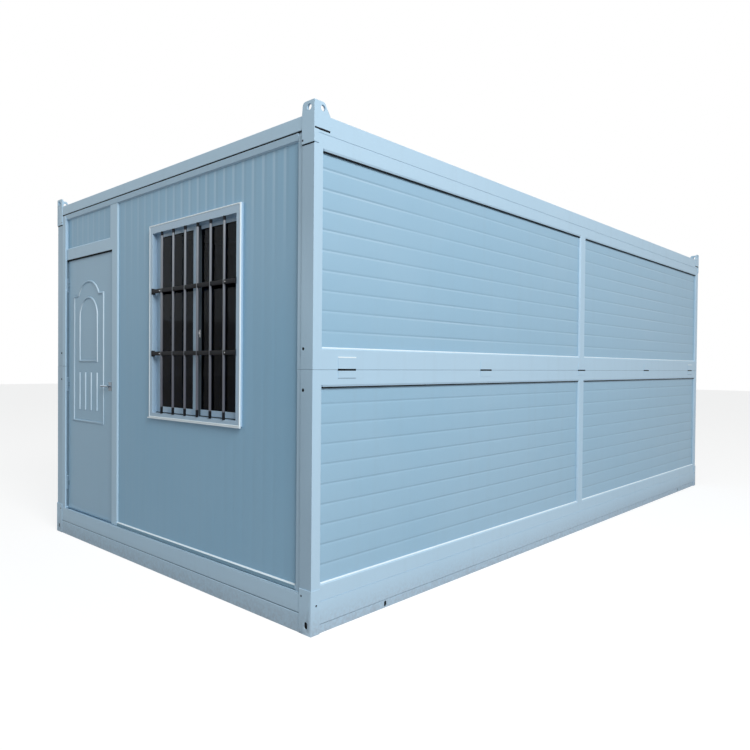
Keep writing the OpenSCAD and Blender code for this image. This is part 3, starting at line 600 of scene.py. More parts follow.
def softened_copy(node, material, radius):
    """A copy that stands for a node: its doubles merged, flat faces joined and edges rounded."""
    bodies = frame["record"]["behaviour"]["bodies"]
    body = next(name for name, parts in bodies.items() if node in parts)
    shell = bmesh.new()
    shell.from_mesh(NODES[node].data)
    bmesh.ops.remove_doubles(shell, verts=shell.verts, dist=MERGE_DISTANCE)
    bmesh.ops.dissolve_limit(
        shell, angle_limit=math.radians(FLAT_DEGREES), verts=shell.verts, edges=shell.edges)
    mesh = bpy.data.meshes.new(node + "_finished")
    shell.to_mesh(mesh)
    shell.free()
    mesh.materials.clear()
    piece = placed_mesh(mesh.name, mesh, material, body)
    rounding = piece.modifiers.new("rounded_edges", "BEVEL")
    rounding.width = radius
    rounding.segments = 2
    rounding.limit_method = "ANGLE"
    rounding.angle_limit = math.radians(EDGE_DEGREES)
    rounding.harden_normals = True
    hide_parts(node)


def finish_of(node):
    """A node's material: its slot's, but for ribbed side panels, half frames and door hinges, whose
    paints carry painted light and shade.
    """
    if node.endswith("wall_panels"):
        return SIDE_SKIN
    if node.endswith(("lower_frame", "upper_frame")):
        return STILE_END_SHADED_PAINT
    return HINGE_SHADE_PAINT if node in DOOR_HINGES else FINISHES[SLOT_OF[node]]


for node, slot in SLOT_OF.items():
    if slot in EDGE_RADIUS and node not in KEPT_SHARP:
        radius = THIN_EDGE_RADIUS if node in THIN_EDGED else EDGE_RADIUS[slot]
        softened_copy(node, finish_of(node), radius)
    else:
        give_finish(node, finish_of(node))


# ---- window bars

FRONT_WALL = corners("front_wall_frame")
WINDOW_JAMB = 38 * MM
GRILLE_DEPTH = 1.5 * MM
TUBE_COUNT, TUBE_SIDES = 6, 20
TUBE = sizes(pitch=130, radius=7.5)
SLEEVE = sizes(wall=0.7, at_foot=42, at_head=24)
CROSS_BAR = sizes(depth=14, height=25, rounding=2, end_gap=3)
CROSS_HEIGHTS = metres((401, 790))
BRACKET = sizes(width=6, depth=24, rounding=1.5, half=18, set_back=4)
BAR_SCREW = metres(((3.5, 0), (3.5, 0.6), (2.2, 1.2)))
BAR_SCREW_FROM_JAMB = 94 * MM


def window_grille():
    """Upright tubes through two cross bars, whose ends sit in brackets on the frame's jambs."""
    low, high = corners("window_frame")
    foot, head = (corners("window_sash_left")[k][2] for k in (0, 1))
    left, right = low[0] + WINDOW_JAMB, high[0] - WINDOW_JAMB
    plane = low[1] + GRILLE_DEPTH
    columns = (left + right) / 2 + TUBE.pitch * (np.arange(TUBE_COUNT) - (TUBE_COUNT - 1) / 2)
    tube = round_section(TUBE.radius, TUBE_SIDES)
    sleeve = round_section(TUBE.radius + SLEEVE.wall, TUBE_SIDES)
    sleeved = ((foot, foot + SLEEVE.at_foot), (head - SLEEVE.at_head, head))
    tubes = [upright(x, plane, foot, head, tube) for x in columns]
    sleeves = [upright(x, plane, z0, z1, sleeve) for x in columns for z0, z1 in sleeved]
    rail = flat_section(CROSS_BAR.depth, CROSS_BAR.height, CROSS_BAR.rounding)
    plate = flat_section(BRACKET.width, BRACKET.depth, BRACKET.rounding)
    start, end = left + CROSS_BAR.end_gap, right - CROSS_BAR.end_gap
    behind, before = plane + BRACKET.set_back, plane - CROSS_BAR.depth / 2
    cross, plates, screws = [], [], []
    for z in low[2] + np.array(CROSS_HEIGHTS):
        cross.append(bar((start, plane, z), (end, plane, z), rail))
        for x, side in ((left, 1), (right, -1)):
            plates.append(upright(x, behind, z - BRACKET.half, z + BRACKET.half, plate))
            screws.append(turned(BAR_SCREW, (x + side * BAR_SCREW_FROM_JAMB, before, z), (0, -1, 0)))
    for name, patches, material in (
            ("window_tubes", tubes, TUBE_PAINT), ("window_tube_sleeves", sleeves, BAR_PAINT),
            ("window_cross_bars", cross, BAR_PAINT), ("window_bar_brackets", plates, BAR_PAINT),
            ("window_bar_screws", screws, BRIGHT_STEEL)):
        round_piece(name, patches, material, "front_wall")


# ---- window trim

SASH_BAR = 40 * MM
SASH_HEAD = 25 * MM
LEDGE = sizes(overhang=18, proud=2, drop=7, gap=0.2)
BEAD = sizes(width=9, outside=0.5, proud=2, rounding=2.5)
GASKET = sizes(width=4, set_back=5)
SASH_FOOT_SEAL = sizes(proud=1.5, depth=1, height=5)
INTERLOCK = sizes(inset=2, proud=1, depth=5.5)
SASH_EDGE_SHADE = sizes(lap=0.5, reach=1, set_back=1)
LATCH = sizes(from_pane=4, below_middle=75, rounding=1.5)
LATCH_PLATE = sizes(section=(16, 5), proud=2, span=(-22, 22))
LATCH_LEVER = sizes(section=(8, 6), proud=6, span=(-4, 12))


def window_ledge():
    """A thin ledge under the window frame, in the bright plastic that paints the window's highlights.
    """
    low, high = corners("window_frame")
    foot = (low[0] - LEDGE.overhang, low[1] - LEDGE.proud, low[2] - LEDGE.drop)
    head = (high[0], FRONT_WALL[0][1], low[2] - LEDGE.gap)
    flat_piece("window_sill_ledge", [block(foot, head)], HIGHLIGHT_PLASTIC, "front_wall")


def window_highlight_bead():
    """A bead round the frame, bright as a painted highlight: a ring of four bars with rounded edges.
    """
    (x0, face, z0), (x1, _, z1) = corners("window_frame")
    wall = FRONT_WALL[0][1]
    width, depth = BEAD.width, wall - face + BEAD.proud
    plane, inset = (wall + face - BEAD.proud) / 2, width / 2 - BEAD.outside
    section = flat_section(width, depth, BEAD.rounding)
    bead = [upright(x, plane, z0, z1, section) for x in (x0 + inset, x1 - inset)]
    section = flat_section(depth, width, BEAD.rounding)
    left, right = x0 + width, x1 - width
    bead += [bar((left, plane, z), (right, plane, z), section) for z in (z0 + inset, z1 - inset)]
    round_piece("window_highlight_bead", bead, HIGHLIGHT_PLASTIC, "front_wall")


def window_gaskets():
    """A gasket of four boxes round each pane, and a seal under each sash."""
    width, rims = GASKET.width, []
    for sash in ("window_sash_left", "window_sash_right"):
        near, far = corners(sash)
        y0, y1 = near[1] + GASKET.set_back, far[1] - GASKET.set_back
        x0, x1 = near[0] + SASH_BAR, far[0] - SASH_BAR
        z0, z1 = near[2] + SASH_BAR, far[2] - SASH_HEAD
        rims += [block((x, y0, z0), (x + width, y1, z1)) for x in (x0, x1 - width)]
        rims += [block((x0 + width, y0, z), (x1 - width, y1, z + width)) for z in (z0, z1 - width)]
        rims.append(block((near[0], near[1] - SASH_FOOT_SEAL.proud, near[2]),
                          (far[0], near[1] + SASH_FOOT_SEAL.depth, near[2] + SASH_FOOT_SEAL.height)))
    flat_piece("window_gaskets", rims, RUBBER_AND_PAINTED_SHADE, "front_wall")


def window_interlock():
    """Painted shade where the sashes meet: a dark strip on the right sash's stile, another on the left
    one's edge.
    """
    near, far = corners("window_sash_right")
    foot, head = near[2] + GASKET.width, far[2] - GASKET.width
    strip = block((near[0] + INTERLOCK.inset, near[1] - INTERLOCK.proud, foot),
                  (near[0] + SASH_BAR + GASKET.width, near[1] + INTERLOCK.depth, head))
    near, far = corners("window_sash_left")
    edge_shade = block((far[0] - SASH_EDGE_SHADE.lap, near[1] + SASH_EDGE_SHADE.set_back, foot),
                  (far[0] + SASH_EDGE_SHADE.reach, far[1] - SASH_EDGE_SHADE.set_back, head))
    flat_piece("window_interlock", [strip, edge_shade], INTERLOCK_SHADE, "front_wall")


def window_latch():
    """A latch on the right sash's stile: a lever on a plate."""
    near, far = corners("window_sash_right")
    x, z = near[0] + SASH_BAR - LATCH.from_pane, (near[2] + far[2]) / 2 - LATCH.below_middle
    latch = []
    for part in (LATCH_PLATE, LATCH_LEVER):
        section = flat_section(*part.section, LATCH.rounding)
        foot, head = part.span
        latch.append(upright(x, near[1] - part.proud, z + foot, z + head, section))
    round_piece("window_latch", latch, BRIGHT_STEEL, "front_wall")


window_grille()
window_ledge()
window_highlight_bead()
window_gaskets()
window_interlock()
window_latch()


# ---- long wall seams

HALF_WIDTH, HALF_LENGTH = cad_box[1][0], cad_box[1][1]
POST_LENGTH = 72 * MM
HALF_STILE = 48 * MM
LIP = sizes(width=31, depth=8, from_wall=6, fit=0.5)
OPENING_HEADS = sizes(lower=83, upper=80)
OPENING_FEET = sizes(lower=88, upper=107)
FOLD_HINGE = sizes(length=130, inset=240, from_middle=1400)
FOLD_STRIP = sizes(set_back=0.6, depth=8, fit=0.1)
SLOT_SHARE = 0.495
HINGE_SLOT = sizes(half_height=4.7, sunk=0.9, proud=0.6)
HINGE_CAP = sizes(height=5, lap=1, sunk=1, proud=2.4)
HINGE_FOOT = sizes(height=5, proud=0.5)
BEAD_GAPS = sizes(head=2, foot=1)
# Painted shade: a black line along each opening's head.
HEAD_SHADE_LINE = metres(((4.0, -5.0), (4.0, 1.5), (11.0, 1.5), (11.0, -5.0)))
HEAD_LIP = metres(((0.3, 9.4), (3.6, 1.5), (8.4, 1.5)))
# Painted highlight: a pale bead on the bevel at each opening's foot.
FOOT_HIGHLIGHT = metres(((5.5, -5.5), (4.5, -4.0), (10.0, 1.2), (11.0, 0.0)))


def fold_strips(foot, head, face, end, inner):
    """The right-hand wall's fold seals, between its hinges and across the posts, and black painted
    shade in its slots.
    """
    half, first = FOLD_HINGE.length / 2, HALF_LENGTH - FOLD_HINGE.inset
    middles = [-first, -FOLD_HINGE.from_middle, 0, FOLD_HINGE.from_middle, first]
    edges = [-end, *(y + side * half for y in middles for side in (-1, 1)), end]
    x0, x1 = face - FOLD_STRIP.depth, face - FOLD_STRIP.set_back
    z0, z1 = foot + FOLD_STRIP.fit, head - FOLD_STRIP.fit
    strips = [block((x0, y0, z0), (x1, y1, z1)) for y0, y1 in zip(edges[::2], edges[1::2])]
    step, start = inner + LIP.width, inner + LIP.fit
    outer, lip_y = end + FOLD_STRIP.depth - FOLD_STRIP.set_back, LIP.depth / 2
    for e in (-1, 1):
        strips.append(block((step, e * end, z0), (x1, e * outer, z1)))
        strips.append(block((start, e * (end - lip_y), z0), (step, e * (outer - lip_y), z1)))
    reach, z = FOLD_HINGE.length * SLOT_SHARE, (foot + head) / 2
    # Painted shade: black fillers in the hinges' slots.
    low = (face - HINGE_SLOT.sunk, -reach, z - HINGE_SLOT.half_height)
    high = (face + HINGE_SLOT.proud, reach, z + HINGE_SLOT.half_height)
    slots = [block(np.add(low, (0, y, 0)), np.add(high, (0, y, 0))) for y in middles]
    return strips, slots


def opening_strips(face, levels, section, gap):
    """Strips along the heads or feet of the right-hand wall's openings, with a gap at each end.

    The section gives depths behind the wall's face and heights over the levels.
    """
    y0, y1 = HALF_STILE + gap, HALF_LENGTH - POST_LENGTH - gap
    return [carried([(face - depth, level + height) for depth, height in section], 1, *span)
            for level in levels for span in ((y0, y1), (-y1, -y0))]


def hinge_boxes(near, far, z0, z1):
    """Boxes over the full length of the first and the last fold hinge of the right-hand wall."""
    half, first = FOLD_HINGE.length / 2, HALF_LENGTH - FOLD_HINGE.inset
    return [block((near, y - half, z0), (far, y + half, z1)) for y in (-first, first)]


def long_wall_seams(side, sign):
    """Seals a long wall's fold gap; adds lips, shade painted in hinge slots, below hinges and at
    heads, highlights painted on caps and feet.
    """
    lower, upper = corners(side + "_lower_frame"), corners(side + "_upper_frame")
    leaf = corners(side + "_fold_hinges")
    face = np.abs(lower)[:, 0].max()
    inner = np.abs(FRONT_WALL)[:, 0].max() + LIP.from_wall
    end = lower[1][1] - FOLD_STRIP.depth
    strips, slots = fold_strips(lower[1][2], upper[0][2], face, end, inner)
    tops = (lower[1][2] - OPENING_HEADS.lower, upper[1][2] - OPENING_HEADS.upper)
    sills = (lower[0][2] + OPENING_FEET.lower, upper[0][2] + OPENING_FEET.upper)
    back, top, foot = face - HINGE_CAP.sunk, leaf[1][2], leaf[0][2]
    # Painted highlight: a bright cap along the top of the first and last hinges.
    caps = hinge_boxes(back, face + HINGE_CAP.proud, top - HINGE_CAP.lap, top + HINGE_CAP.height)
    # Painted shadow: a dark line under the first and last hinges.
    lines = hinge_boxes(back, face + HINGE_FOOT.proud, foot - HINGE_FOOT.height, foot)
    for name, patches, material in (
            ("fold_seals", strips, SEALANT_AND_SHADOW),
            # painted shade in the hinges' slots
            ("hinge_slots", slots, RUBBER_AND_PAINTED_SHADE),
            # painted shade along the openings' heads
            ("head_shade_lines", opening_strips(face, tops, HEAD_SHADE_LINE, BEAD_GAPS.head), RUBBER_AND_PAINTED_SHADE),
            ("head_lips", opening_strips(face, tops, HEAD_LIP, BEAD_GAPS.head), STILE_END_SHADED_PAINT),
            # painted highlight on the hinges' tops
            ("hinge_highlight_caps", caps, HIGHLIGHT_PLASTIC),
            # painted highlight at the openings' feet
            ("foot_highlight_beads", opening_strips(face, sills, FOOT_HIGHLIGHT, BEAD_GAPS.foot), HIGHLIGHT_PLASTIC),
            # painted shadow under the hinges
            ("hinge_foot_shadow_lines", lines, SEALANT_AND_SHADOW)):
        flat_piece(f"{side}_{name}", mirrored(patches, [(sign, 1)]), material)


for side, sign in (("right", 1), ("left", -1)):
    long_wall_seams(side, sign)


# ---- fixings

END_SCREWS = (sizes(from_side=82, z=2379), sizes(from_side=70, z=184))
SIDE_SCREW = sizes(from_end=35, z=143)
CORNER_SCREW_RADIUS = 5.5 * MM
ROOF_SCREW = sizes(radius=6, pitch=250, from_side=150, level=2)
ROOF_SCREW_COLUMNS = 5


def fixings():
    """Screw heads on every corner's fittings and along the roof sheet's flats."""
    heads = []
    for sx, sy in EVERY_CORNER:
        for screw in END_SCREWS:
            place = (sx * (HALF_WIDTH - screw.from_side), sy * HALF_LENGTH, screw.z)
            heads.append(screw_head(place, (0, sy, 0), CORNER_SCREW_RADIUS))
        place = (sx * HALF_WIDTH, sy * (HALF_LENGTH - SIDE_SCREW.from_end), SIDE_SCREW.z)
        heads.append(screw_head(place, (sx, 0, 0), CORNER_SCREW_RADIUS))
    round_piece("corner_screws", heads, SCREW_STEEL, "cabin")
    sheet = corners("roof_sheet")
    flats = np.arange(sheet[0][1] + ROOF_SCREW.pitch / 2, sheet[1][1], ROOF_SCREW.pitch)
    reach, level = HALF_WIDTH - ROOF_SCREW.from_side, sheet[0][2] + ROOF_SCREW.level
    rows = [screw_head((x, y, level), (0, 0, 1), ROOF_SCREW.radius)
            for x in np.linspace(-reach, reach, ROOF_SCREW_COLUMNS) for y in flats]
    round_piece("roof_screws", rows, ZINC_COAT, "cabin")


fixings()


# ---- holes, slots and gaps

SKIRT_WIDTH = 88 * MM
SKIRT_INSET = 4 * MM
FOLD_LEVEL = 1280 * MM
ROOF_SLOT = metres((2424, 2432))
LASH_HOLE = sizes(across=(25, 49), along=(3, 6), levels=(29, 65))
TIE_SLOT = sizes(across=(11, 14), along=(543.5, 566.5), levels=(4.5, 37.5))
ROOF_SLOT_SHADE = sizes(across=(1, 8), along=(0.5, 106.5), levels=(2424.2, 2431.8))
SKIRT_LINE = sizes(across=(4, 88), along=(3, 5), levels=(2355, 2361))
LOCK_HOLE = sizes(from_side=72, from_fold=100, radius=8.6, inset=4.5, depth=2)


def corner_box(across, along, levels):
    """A box at the back right corner, by distances in from the side and the end, and levels."""
    return block((HALF_WIDTH - across[0], HALF_LENGTH - along[0], levels[0]),
                 (HALF_WIDTH - across[1], HALF_LENGTH - along[1], levels[1]))


def dark_holes():
    """Painted shade in black: liners in the lashing, tie and locking holes, fills in the roof's slots,
    lines under the skirts.
    """
    liners = [corner_box(**vars(hole)) for hole in (LASH_HOLE, TIE_SLOT)]
    x, y = HALF_WIDTH - LOCK_HOLE.from_side, HALF_LENGTH - LOCK_HOLE.inset
    disc = [(LOCK_HOLE.radius, -LOCK_HOLE.depth), (LOCK_HOLE.radius, 0)]
    for z in (FOLD_LEVEL - LOCK_HOLE.from_fold, FOLD_LEVEL + LOCK_HOLE.from_fold):
        liners.append(turned(disc, (x, y, z), (0, 1, 0), 16))
    liners += [corner_box(**vars(seal)) for seal in (ROOF_SLOT_SHADE, SKIRT_LINE)]
    flat_piece("dark_holes", mirrored(liners, EVERY_CORNER), RUBBER_AND_PAINTED_SHADE)


# ---- seals at the end walls

BEAM_FACE = 2 * MM
WALL_HEAD = 2425 * MM
HEAD_LINE = 2424.6 * MM
END_HEAD_SHADE = sizes(end_gap=1, over_wall=0.3, under_slot=0.1, depth=(1.5, 45))
HEAD_NOSE = metres((1.5, 11.8))
HEAD_FILLER = sizes(foot=2409.5, lap=0.5, depth=(6, 40))
HEAD_DRIP = metres(((-1.0, 0.0), (-11.3, -29.0), (-11.8, -29.0), (-11.8, 0.0)))
FOOT_LIP = sizes(z=(188, 195.2), depth=(0.7, 10))
GROOVE_SHADE = sizes(z=(93.2, 96.8), depth=(1.6, 3.5))
FOOT_STRIP = sizes(section=((1.85, -6.85), (8.35, -0.35), (7.6, 0.4), (1.1, -6.1)), end_gap=1)
FOOT_RAIL = sizes(foot=197.6, below_panel=7, sunk=2, proud=0.3)
BOTH_ENDS = [(1, -1), (1, 1)]


def end_piece(name, patches, material):
    """A piece of the cabin at both ends, from patches at the back end."""
    flat_piece(name, mirrored(patches, BOTH_ENDS), material)


def behind_beam(x0, x1, z0, z1, depth):
    """A box at the back end between two depths behind the end beams' face."""
    face = HALF_LENGTH - BEAM_FACE
    return block((x0, face - depth[1], z0), (x1, face - depth[0], z1))


def end_trims():
    """End wall trims: black painted shade over the head, a brightened drip, a lip under the foot,
    shade in the groove.
    """
    reach = HALF_WIDTH - SKIRT_WIDTH - END_HEAD_SHADE.end_gap
    lip_x = HALF_WIDTH - SKIRT_WIDTH - LIP.width
    over_wall, slot_head = WALL_HEAD + END_HEAD_SHADE.over_wall, ROOF_SLOT[1] - END_HEAD_SHADE.under_slot
    # Painted shade: black strips in the gap under the end beam.
    head = behind_beam(-reach, reach, over_wall, slot_head, END_HEAD_SHADE.depth)
    nose = behind_beam(-lip_x, lip_x, HEAD_LINE, over_wall, HEAD_NOSE)
    end_piece("end_head_shade_lines", [head, nose], RUBBER_AND_PAINTED_SHADE)
    face = HALF_LENGTH - BEAM_FACE
    # The drip takes the brightened paint as painted light.
    drip = [(face + depth, HEAD_LINE + height) for depth, height in HEAD_DRIP]
    end_piece("end_head_drips", [carried(drip, 0, -lip_x, lip_x)], DRIP_LIT_PAINT)
    lip = behind_beam(-reach, reach, *FOOT_LIP.z, FOOT_LIP.depth)
    x0, x1 = lip_x + HEAD_FILLER.lap, reach + HEAD_FILLER.lap
    fillers = [behind_beam(sx * x0, sx * x1, HEAD_FILLER.foot, HEAD_LINE, HEAD_FILLER.depth)
               for sx in (-1, 1)]
    end_piece("end_flashings", [lip, *fillers], FRAME_PAINT)
    # Painted shade: a dark strip in the base's groove.
    groove = behind_beam(-reach, reach, *GROOVE_SHADE.z, GROOVE_SHADE.depth)
    end_piece("base_groove_shade", [groove], REVEAL_SHADE)


def panel_foot_beads():
    """A pale strip on the bevel at the foot of each end wall's panel as its painted highlight, and a
    dull band under it.
    """
    for wall, out in (("front_wall", -1), ("back_wall", 1)):
        low, high = corners(wall + "_panel")
        face = corners(wall + "_frame")[0 if out < 0 else 1][1]
        section = [(face - out * depth, low[2] + height) for depth, height in FOOT_STRIP.section]
        strip = carried(section, 0, low[0] + FOOT_STRIP.end_gap, high[0] - FOOT_STRIP.end_gap)
        flat_piece(wall + "_foot_highlight_bead", [strip], HIGHLIGHT_PLASTIC, wall)
        band = block((low[0], face - out * FOOT_RAIL.sunk, FOOT_RAIL.foot),
                     (high[0], face + out * FOOT_RAIL.proud, low[2] - FOOT_RAIL.below_panel))
        flat_piece(wall + "_foot_band", [band], FOOT_BAND, wall)


dark_holes()
end_trims()
panel_foot_beads()


# ---- seals beside the door

SIDE_COVER = sizes(outside=37, inside=12, depth=9.3, foot=188.4, half_split=1.5)
REVEAL = sizes(inset=14, sunk=0.1, proud=1.2, set_back=0.4, lap=2)
HINGE_HALF = 52 * MM
DOOR_HEAD = sizes(left=7, right=8, proud=11, lap=6, z=(0.7, 8))
SWEEP = sizes(end_gap=1, proud=0.7, thickness=1.4, rounding=0.5, over_sill=1.5, lap=12)
KEYHOLE = sizes(from_edge=36, below_lever=16, radius=4, proud=3, depth=(0.1, 2.2))
KEY_SLOT = sizes(half=1.6, below_lever=(17, 26), proud=(1, 3.1))


def door_side_cover():
    """A flat cover over the post's lip beside the door, split at the fold line."""
    side = FRONT_WALL[0][0]
    outer, inner = side - SIDE_COVER.outside, side + SIDE_COVER.inside
    face = cad_box[0][1] + SKIRT_INSET
    halves = [block((outer, face, z0), (inner, face + SIDE_COVER.depth, z1))
              for z0, z1 in ((SIDE_COVER.foot, FOLD_LEVEL - SIDE_COVER.half_split),
                             (FOLD_LEVEL + SIDE_COVER.half_split, ROOF_SLOT[0]))]
    flat_piece("door_side_cover", halves, FRAME_PAINT)


def door_reveal_shade():
    """Painted shade: a dark strip in the door's hinge-side reveal, broken at the three hinges."""
    leaf, pins = corners("door_leaf"), corners("door_jamb_pins")
    jamb, wall = FRONT_WALL[0][0] + REVEAL.inset, FRONT_WALL[0][1]
    lowest, highest = pins[0][2] + HINGE_HALF, pins[1][2] - HINGE_HALF
    hinges = (lowest, (lowest + highest) / 2, highest)
    edges = [leaf[0][2], *(z + end * HINGE_HALF for z in hinges for end in (-1, 1)), leaf[1][2]]
    strips = [block((jamb - REVEAL.sunk, wall + REVEAL.set_back, z0),
                    (jamb + REVEAL.proud, leaf[0][1] + REVEAL.lap, z1))
              for z0, z1 in zip(edges[::2], edges[1::2])]
    flat_piece("door_reveal_shade", strips, REVEAL_SHADE, "front_wall")


door_side_cover()
door_reveal_shade()


# ---- door mouldings

FIELD = sizes(width=488, foot=657, shoulder=1602, arch=340, rise=98)
HEAD = sizes(width=298, foot=1100, crown=1582)
FLUTE_COUNT = 4
FLUTES = sizes(pitch=92, foot=753, top=1026)
PRESSING_SHIFT = -20 * MM
GROOVE_MIDDLE = 10 * MM
BEAD_HALF = 8.5 * MM
BEAD_SINK = 1.5 * MM


def arc_points(centre, radius, start, end, steps=16):
    """Points of an arc about centre from one angle to another, in radians."""
    t = np.linspace(start, end, steps + 1)
    return centre + radius * np.stack([np.cos(t), np.sin(t)], axis=1)


def shouldered(inwards):
    """The outer field's outline moved inwards: square shoulders with an arch between them."""
    half, rise = FIELD.arch / 2, FIELD.rise
    radius = (half ** 2 + rise ** 2) / (2 * rise)
    centre = np.array([0, FIELD.shoulder + rise - radius])
    start = math.asin((FIELD.shoulder - inwards - centre[1]) / (radius - inwards))
    x, foot, top = FIELD.width / 2 - inwards, FIELD.foot + inwards, FIELD.shoulder - inwards
    arch = arc_points(centre, radius - inwards, start, math.pi - start)
    return np.concatenate([[(-x, foot), (x, foot), (x, top)], arch, [(-x, top)]])


def round_headed(inwards):
    """The inner panel's outline moved inwards: straight sides under a half circle."""
    half, foot = HEAD.width / 2, HEAD.foot + inwards
    arch = arc_points(np.array([0, HEAD.crown - half]), half - inwards, 0, math.pi)
    return np.concatenate([[(inwards - half, foot), (half - inwards, foot)], arch])


def door_mouldings():
    """Half-round beads that lie in the leaf's pressed grooves, on both faces.

    Row k of a bead is its outline moved inwards by the groove's middle - half width * cos t and
    raised by half width * sin t - sink, with t going once round; a flute's bead is a straight bar.
    """
    leaf = corners("door_leaf")
    origin = np.array([(leaf[0][0] + leaf[1][0]) / 2 + PRESSING_SHIFT, leaf[0][1], leaf[0][2]])
    thickness = leaf[1][1] - leaf[0][1]
    t = np.concatenate([np.linspace(0, np.pi, 9), [1.5 * np.pi]])
    inwards = GROOVE_MIDDLE - BEAD_HALF * np.cos(t)
    raised = np.maximum(BEAD_HALF * np.sin(t), 0) - BEAD_SINK
    beads = []
    for outline in (shouldered, round_headed):
        rows = [np.insert(outline(d), 1, -h, axis=1) for d, h in zip(inwards, raised)]
        beads.append((origin + np.stack(rows), True, True))
    section = np.stack([BEAD_HALF * np.cos(t[:-1]), raised[:-1]], axis=1)
    for k in np.arange(FLUTE_COUNT) - (FLUTE_COUNT - 1) / 2:
        foot, top = [origin + (k * FLUTES.pitch, 0, z) for z in (FLUTES.foot, FLUTES.top)]
        beads.append(bar(foot, top, section, up=(0, -1, 0)))
    middle = 2 * origin[1] + thickness
    inside = [(grid * (1, -1, 1) + (0, middle, 0), rows, cols) for grid, rows, cols in beads]
    # The beads' paint carries painted highlights on their flanks that face +X.
    round_piece("door_mouldings", beads + inside, DOOR_RAISED, "door", degrees=50)


door_mouldings()


# ---- door seals and lock

def door_head_shade():
    """Painted shade: a black strip over the leaf."""
    low, high = corners("door_leaf")
    z0, z1 = high[2] + DOOR_HEAD.z[0], high[2] + DOOR_HEAD.z[1]
    seal = block((low[0] - DOOR_HEAD.left, low[1] - DOOR_HEAD.proud, z0),
                 (high[0] + DOOR_HEAD.right, low[1] + DOOR_HEAD.lap, z1))
    flat_piece("door_head_shade", [seal], RUBBER_AND_PAINTED_SHADE, "front_wall")


def door_sweep():
    """A thin sweep with rounded edges along the leaf's foot."""
    low, high = corners("door_leaf")
    foot, head = FRONT_WALL[0][2] + SWEEP.over_sill, low[2] + SWEEP.lap
    y, z = low[1] - SWEEP.proud, (foot + head) / 2
    section = flat_section(SWEEP.thickness, head - foot, SWEEP.rounding)
    sweep = bar((low[0] + SWEEP.end_gap, y, z), (high[0] - SWEEP.end_gap, y, z), section)
    round_piece("door_sweep", [sweep], DOOR_PAINT, "door")


def door_keyhole():
    """A keyhole in the handle's rose, black as painted shade: a round hole over a slot."""
    low, high = corners("door_leaf")
    lever = np.mean(corners("door_handle"), axis=0)[2]
    x, (near, deep) = high[0] - KEYHOLE.from_edge, KEYHOLE.depth
    disc = [(KEYHOLE.radius, -deep), (KEYHOLE.radius, near)]
    hole = turned(disc, (x, low[1] - KEYHOLE.proud, lever - KEYHOLE.below_lever), (0, -1, 0))
    (top, foot), (back, front) = KEY_SLOT.below_lever, KEY_SLOT.proud
    slot = block((x - KEY_SLOT.half, low[1] - front, lever - foot),
                 (x + KEY_SLOT.half, low[1] - back, lever - top))
    flat_piece("door_keyhole", [hole, slot], RUBBER_AND_PAINTED_SHADE, "door")


door_head_shade()
door_sweep()
door_keyhole()


# ---- the studio

FLOOR_REACH = 40
FLOOR_GREY = (0.30, 0.30, 0.31)
FLOOR_WHITE = (0.80, 0.80, 0.80)
FLOOR_GLOW = 1.3
FLOOR_SHARE = 0.6
SKY_LEVEL = 0.20
SKY_TINT = (0.90, 0.98, 1.0)


def blended(tree, factor, first, second):
    """A Mix Shader of two shaders' outputs; returns its output."""
    blend = add(tree, "MixShader")
    for socket, value in zip(blend.inputs, (factor, first, second)):
        plug(tree, socket, value)
    return blend.outputs[0]


def seen_directly(tree, ray):
    """1 for rays from the camera, through glass or off a glossy face, and 0 for all others."""
    seen = maths(tree, "MAXIMUM", ray.outputs["Is Camera Ray"], ray.outputs["Is Transmission Ray"])
    return maths(tree, "MAXIMUM", seen, ray.outputs["Is Glossy Ray"])


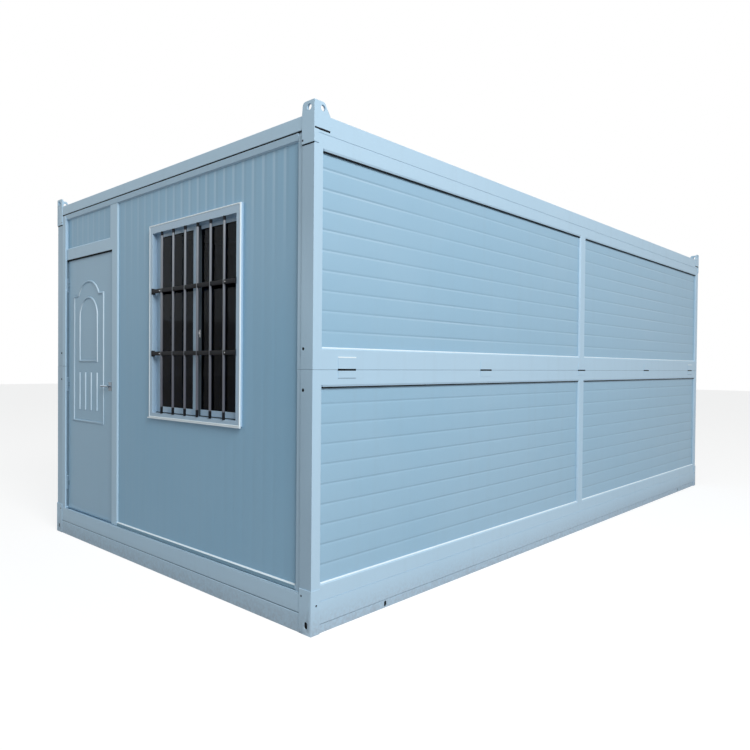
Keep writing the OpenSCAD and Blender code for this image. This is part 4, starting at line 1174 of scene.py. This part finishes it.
def studio_floor():
    """A pale floor that reads white to the camera but keeps the shadow."""
    square = FLOOR_REACH * np.array([(-1, -1, 0), (1, -1, 0), (1, 1, 0), (-1, 1, 0)])
    mesh = bpy.data.meshes.new("floor")
    mesh.from_pydata(square.tolist(), [], [[0, 1, 2, 3]])
    material, tree, shader = new_material("floor_paint", Roughness=0.9)
    ray = add(tree, "LightPath")
    feed(tree, shader, Base_Color=mixed(tree, ray.outputs["Is Camera Ray"], FLOOR_GREY, FLOOR_WHITE))
    white = add(tree, "Emission", Strength=FLOOR_GLOW)
    share = maths(tree, "MULTIPLY", seen_directly(tree, ray), FLOOR_SHARE)
    surface = blended(tree, share, shader.outputs[0], white.outputs[0])
    feed(tree, tree.nodes["Material Output"], Surface=surface)
    mesh.materials.append(material)
    floor = new_object("floor", mesh)


def surround():
    """A surround that is white where it is seen and gives a dimmer, tinted light."""
    world = bpy.data.worlds.new("surround")
    world.use_nodes = True
    tree = world.node_tree
    tree.nodes.clear()
    ray = add(tree, "LightPath")
    plain = add(tree, "Background", Color=(1, 1, 1, 1), Strength=1.0)
    light = add(tree, "Background", Color=(*SKY_TINT, 1), Strength=SKY_LEVEL)
    surface = blended(tree, seen_directly(tree, ray), light.outputs[0], plain.outputs[0])
    add(tree, "OutputWorld", Surface=surface)
    SCENE.world = world


def lamp(name, place, target, size, power, colour):
    """A soft square area lamp that faces its target."""
    data = bpy.data.lights.new(name, "AREA")
    data.size = size
    data.energy = power
    data.color = colour
    lit = new_object(name, data)
    lit.location = place
    lit.rotation_mode = "QUATERNION"
    lit.rotation_quaternion = (Vector(target) - Vector(place)).to_track_quat("-Z", "Y")


studio_floor()
surround()
lamp("side_lamp", (10.5, -6.0, 8.0), (1.4, 0.0, 1.2), size=6.0, power=1390, colour=(1, 1, 1))
lamp("front_lamp", (-6.5, -9.0, 5.0), (0.0, -2.9, 1.3), size=6.0, power=108, colour=(0.90, 0.99, 1.0))
SCENE.view_settings.view_transform = "Standard"


# ---- the camera

def aim_camera(place, yaw, pitch, roll, lens, shift):
    """A camera turned yaw degrees left of +Y, then pitched up and rolled."""
    data = bpy.data.cameras.new("camera")
    data.lens = lens
    data.shift_x, data.shift_y = shift
    data.clip_end = 200
    turn = Matrix.Identity(3)
    for degrees, axis in ((yaw, "Z"), (90 + pitch, "X"), (roll, "Z")):
        turn = turn @ Matrix.Rotation(math.radians(degrees), 3, axis)
    camera = new_object("camera", data)
    camera.rotation_euler = turn.to_euler()
    camera.location = place
    SCENE.camera = camera


aim_camera(
    place=(3.7493, -5.0722, 1.2986), yaw=43.603, pitch=-0.886, roll=0.472, lens=31.776,
    shift=(0.03153, 0.00178))
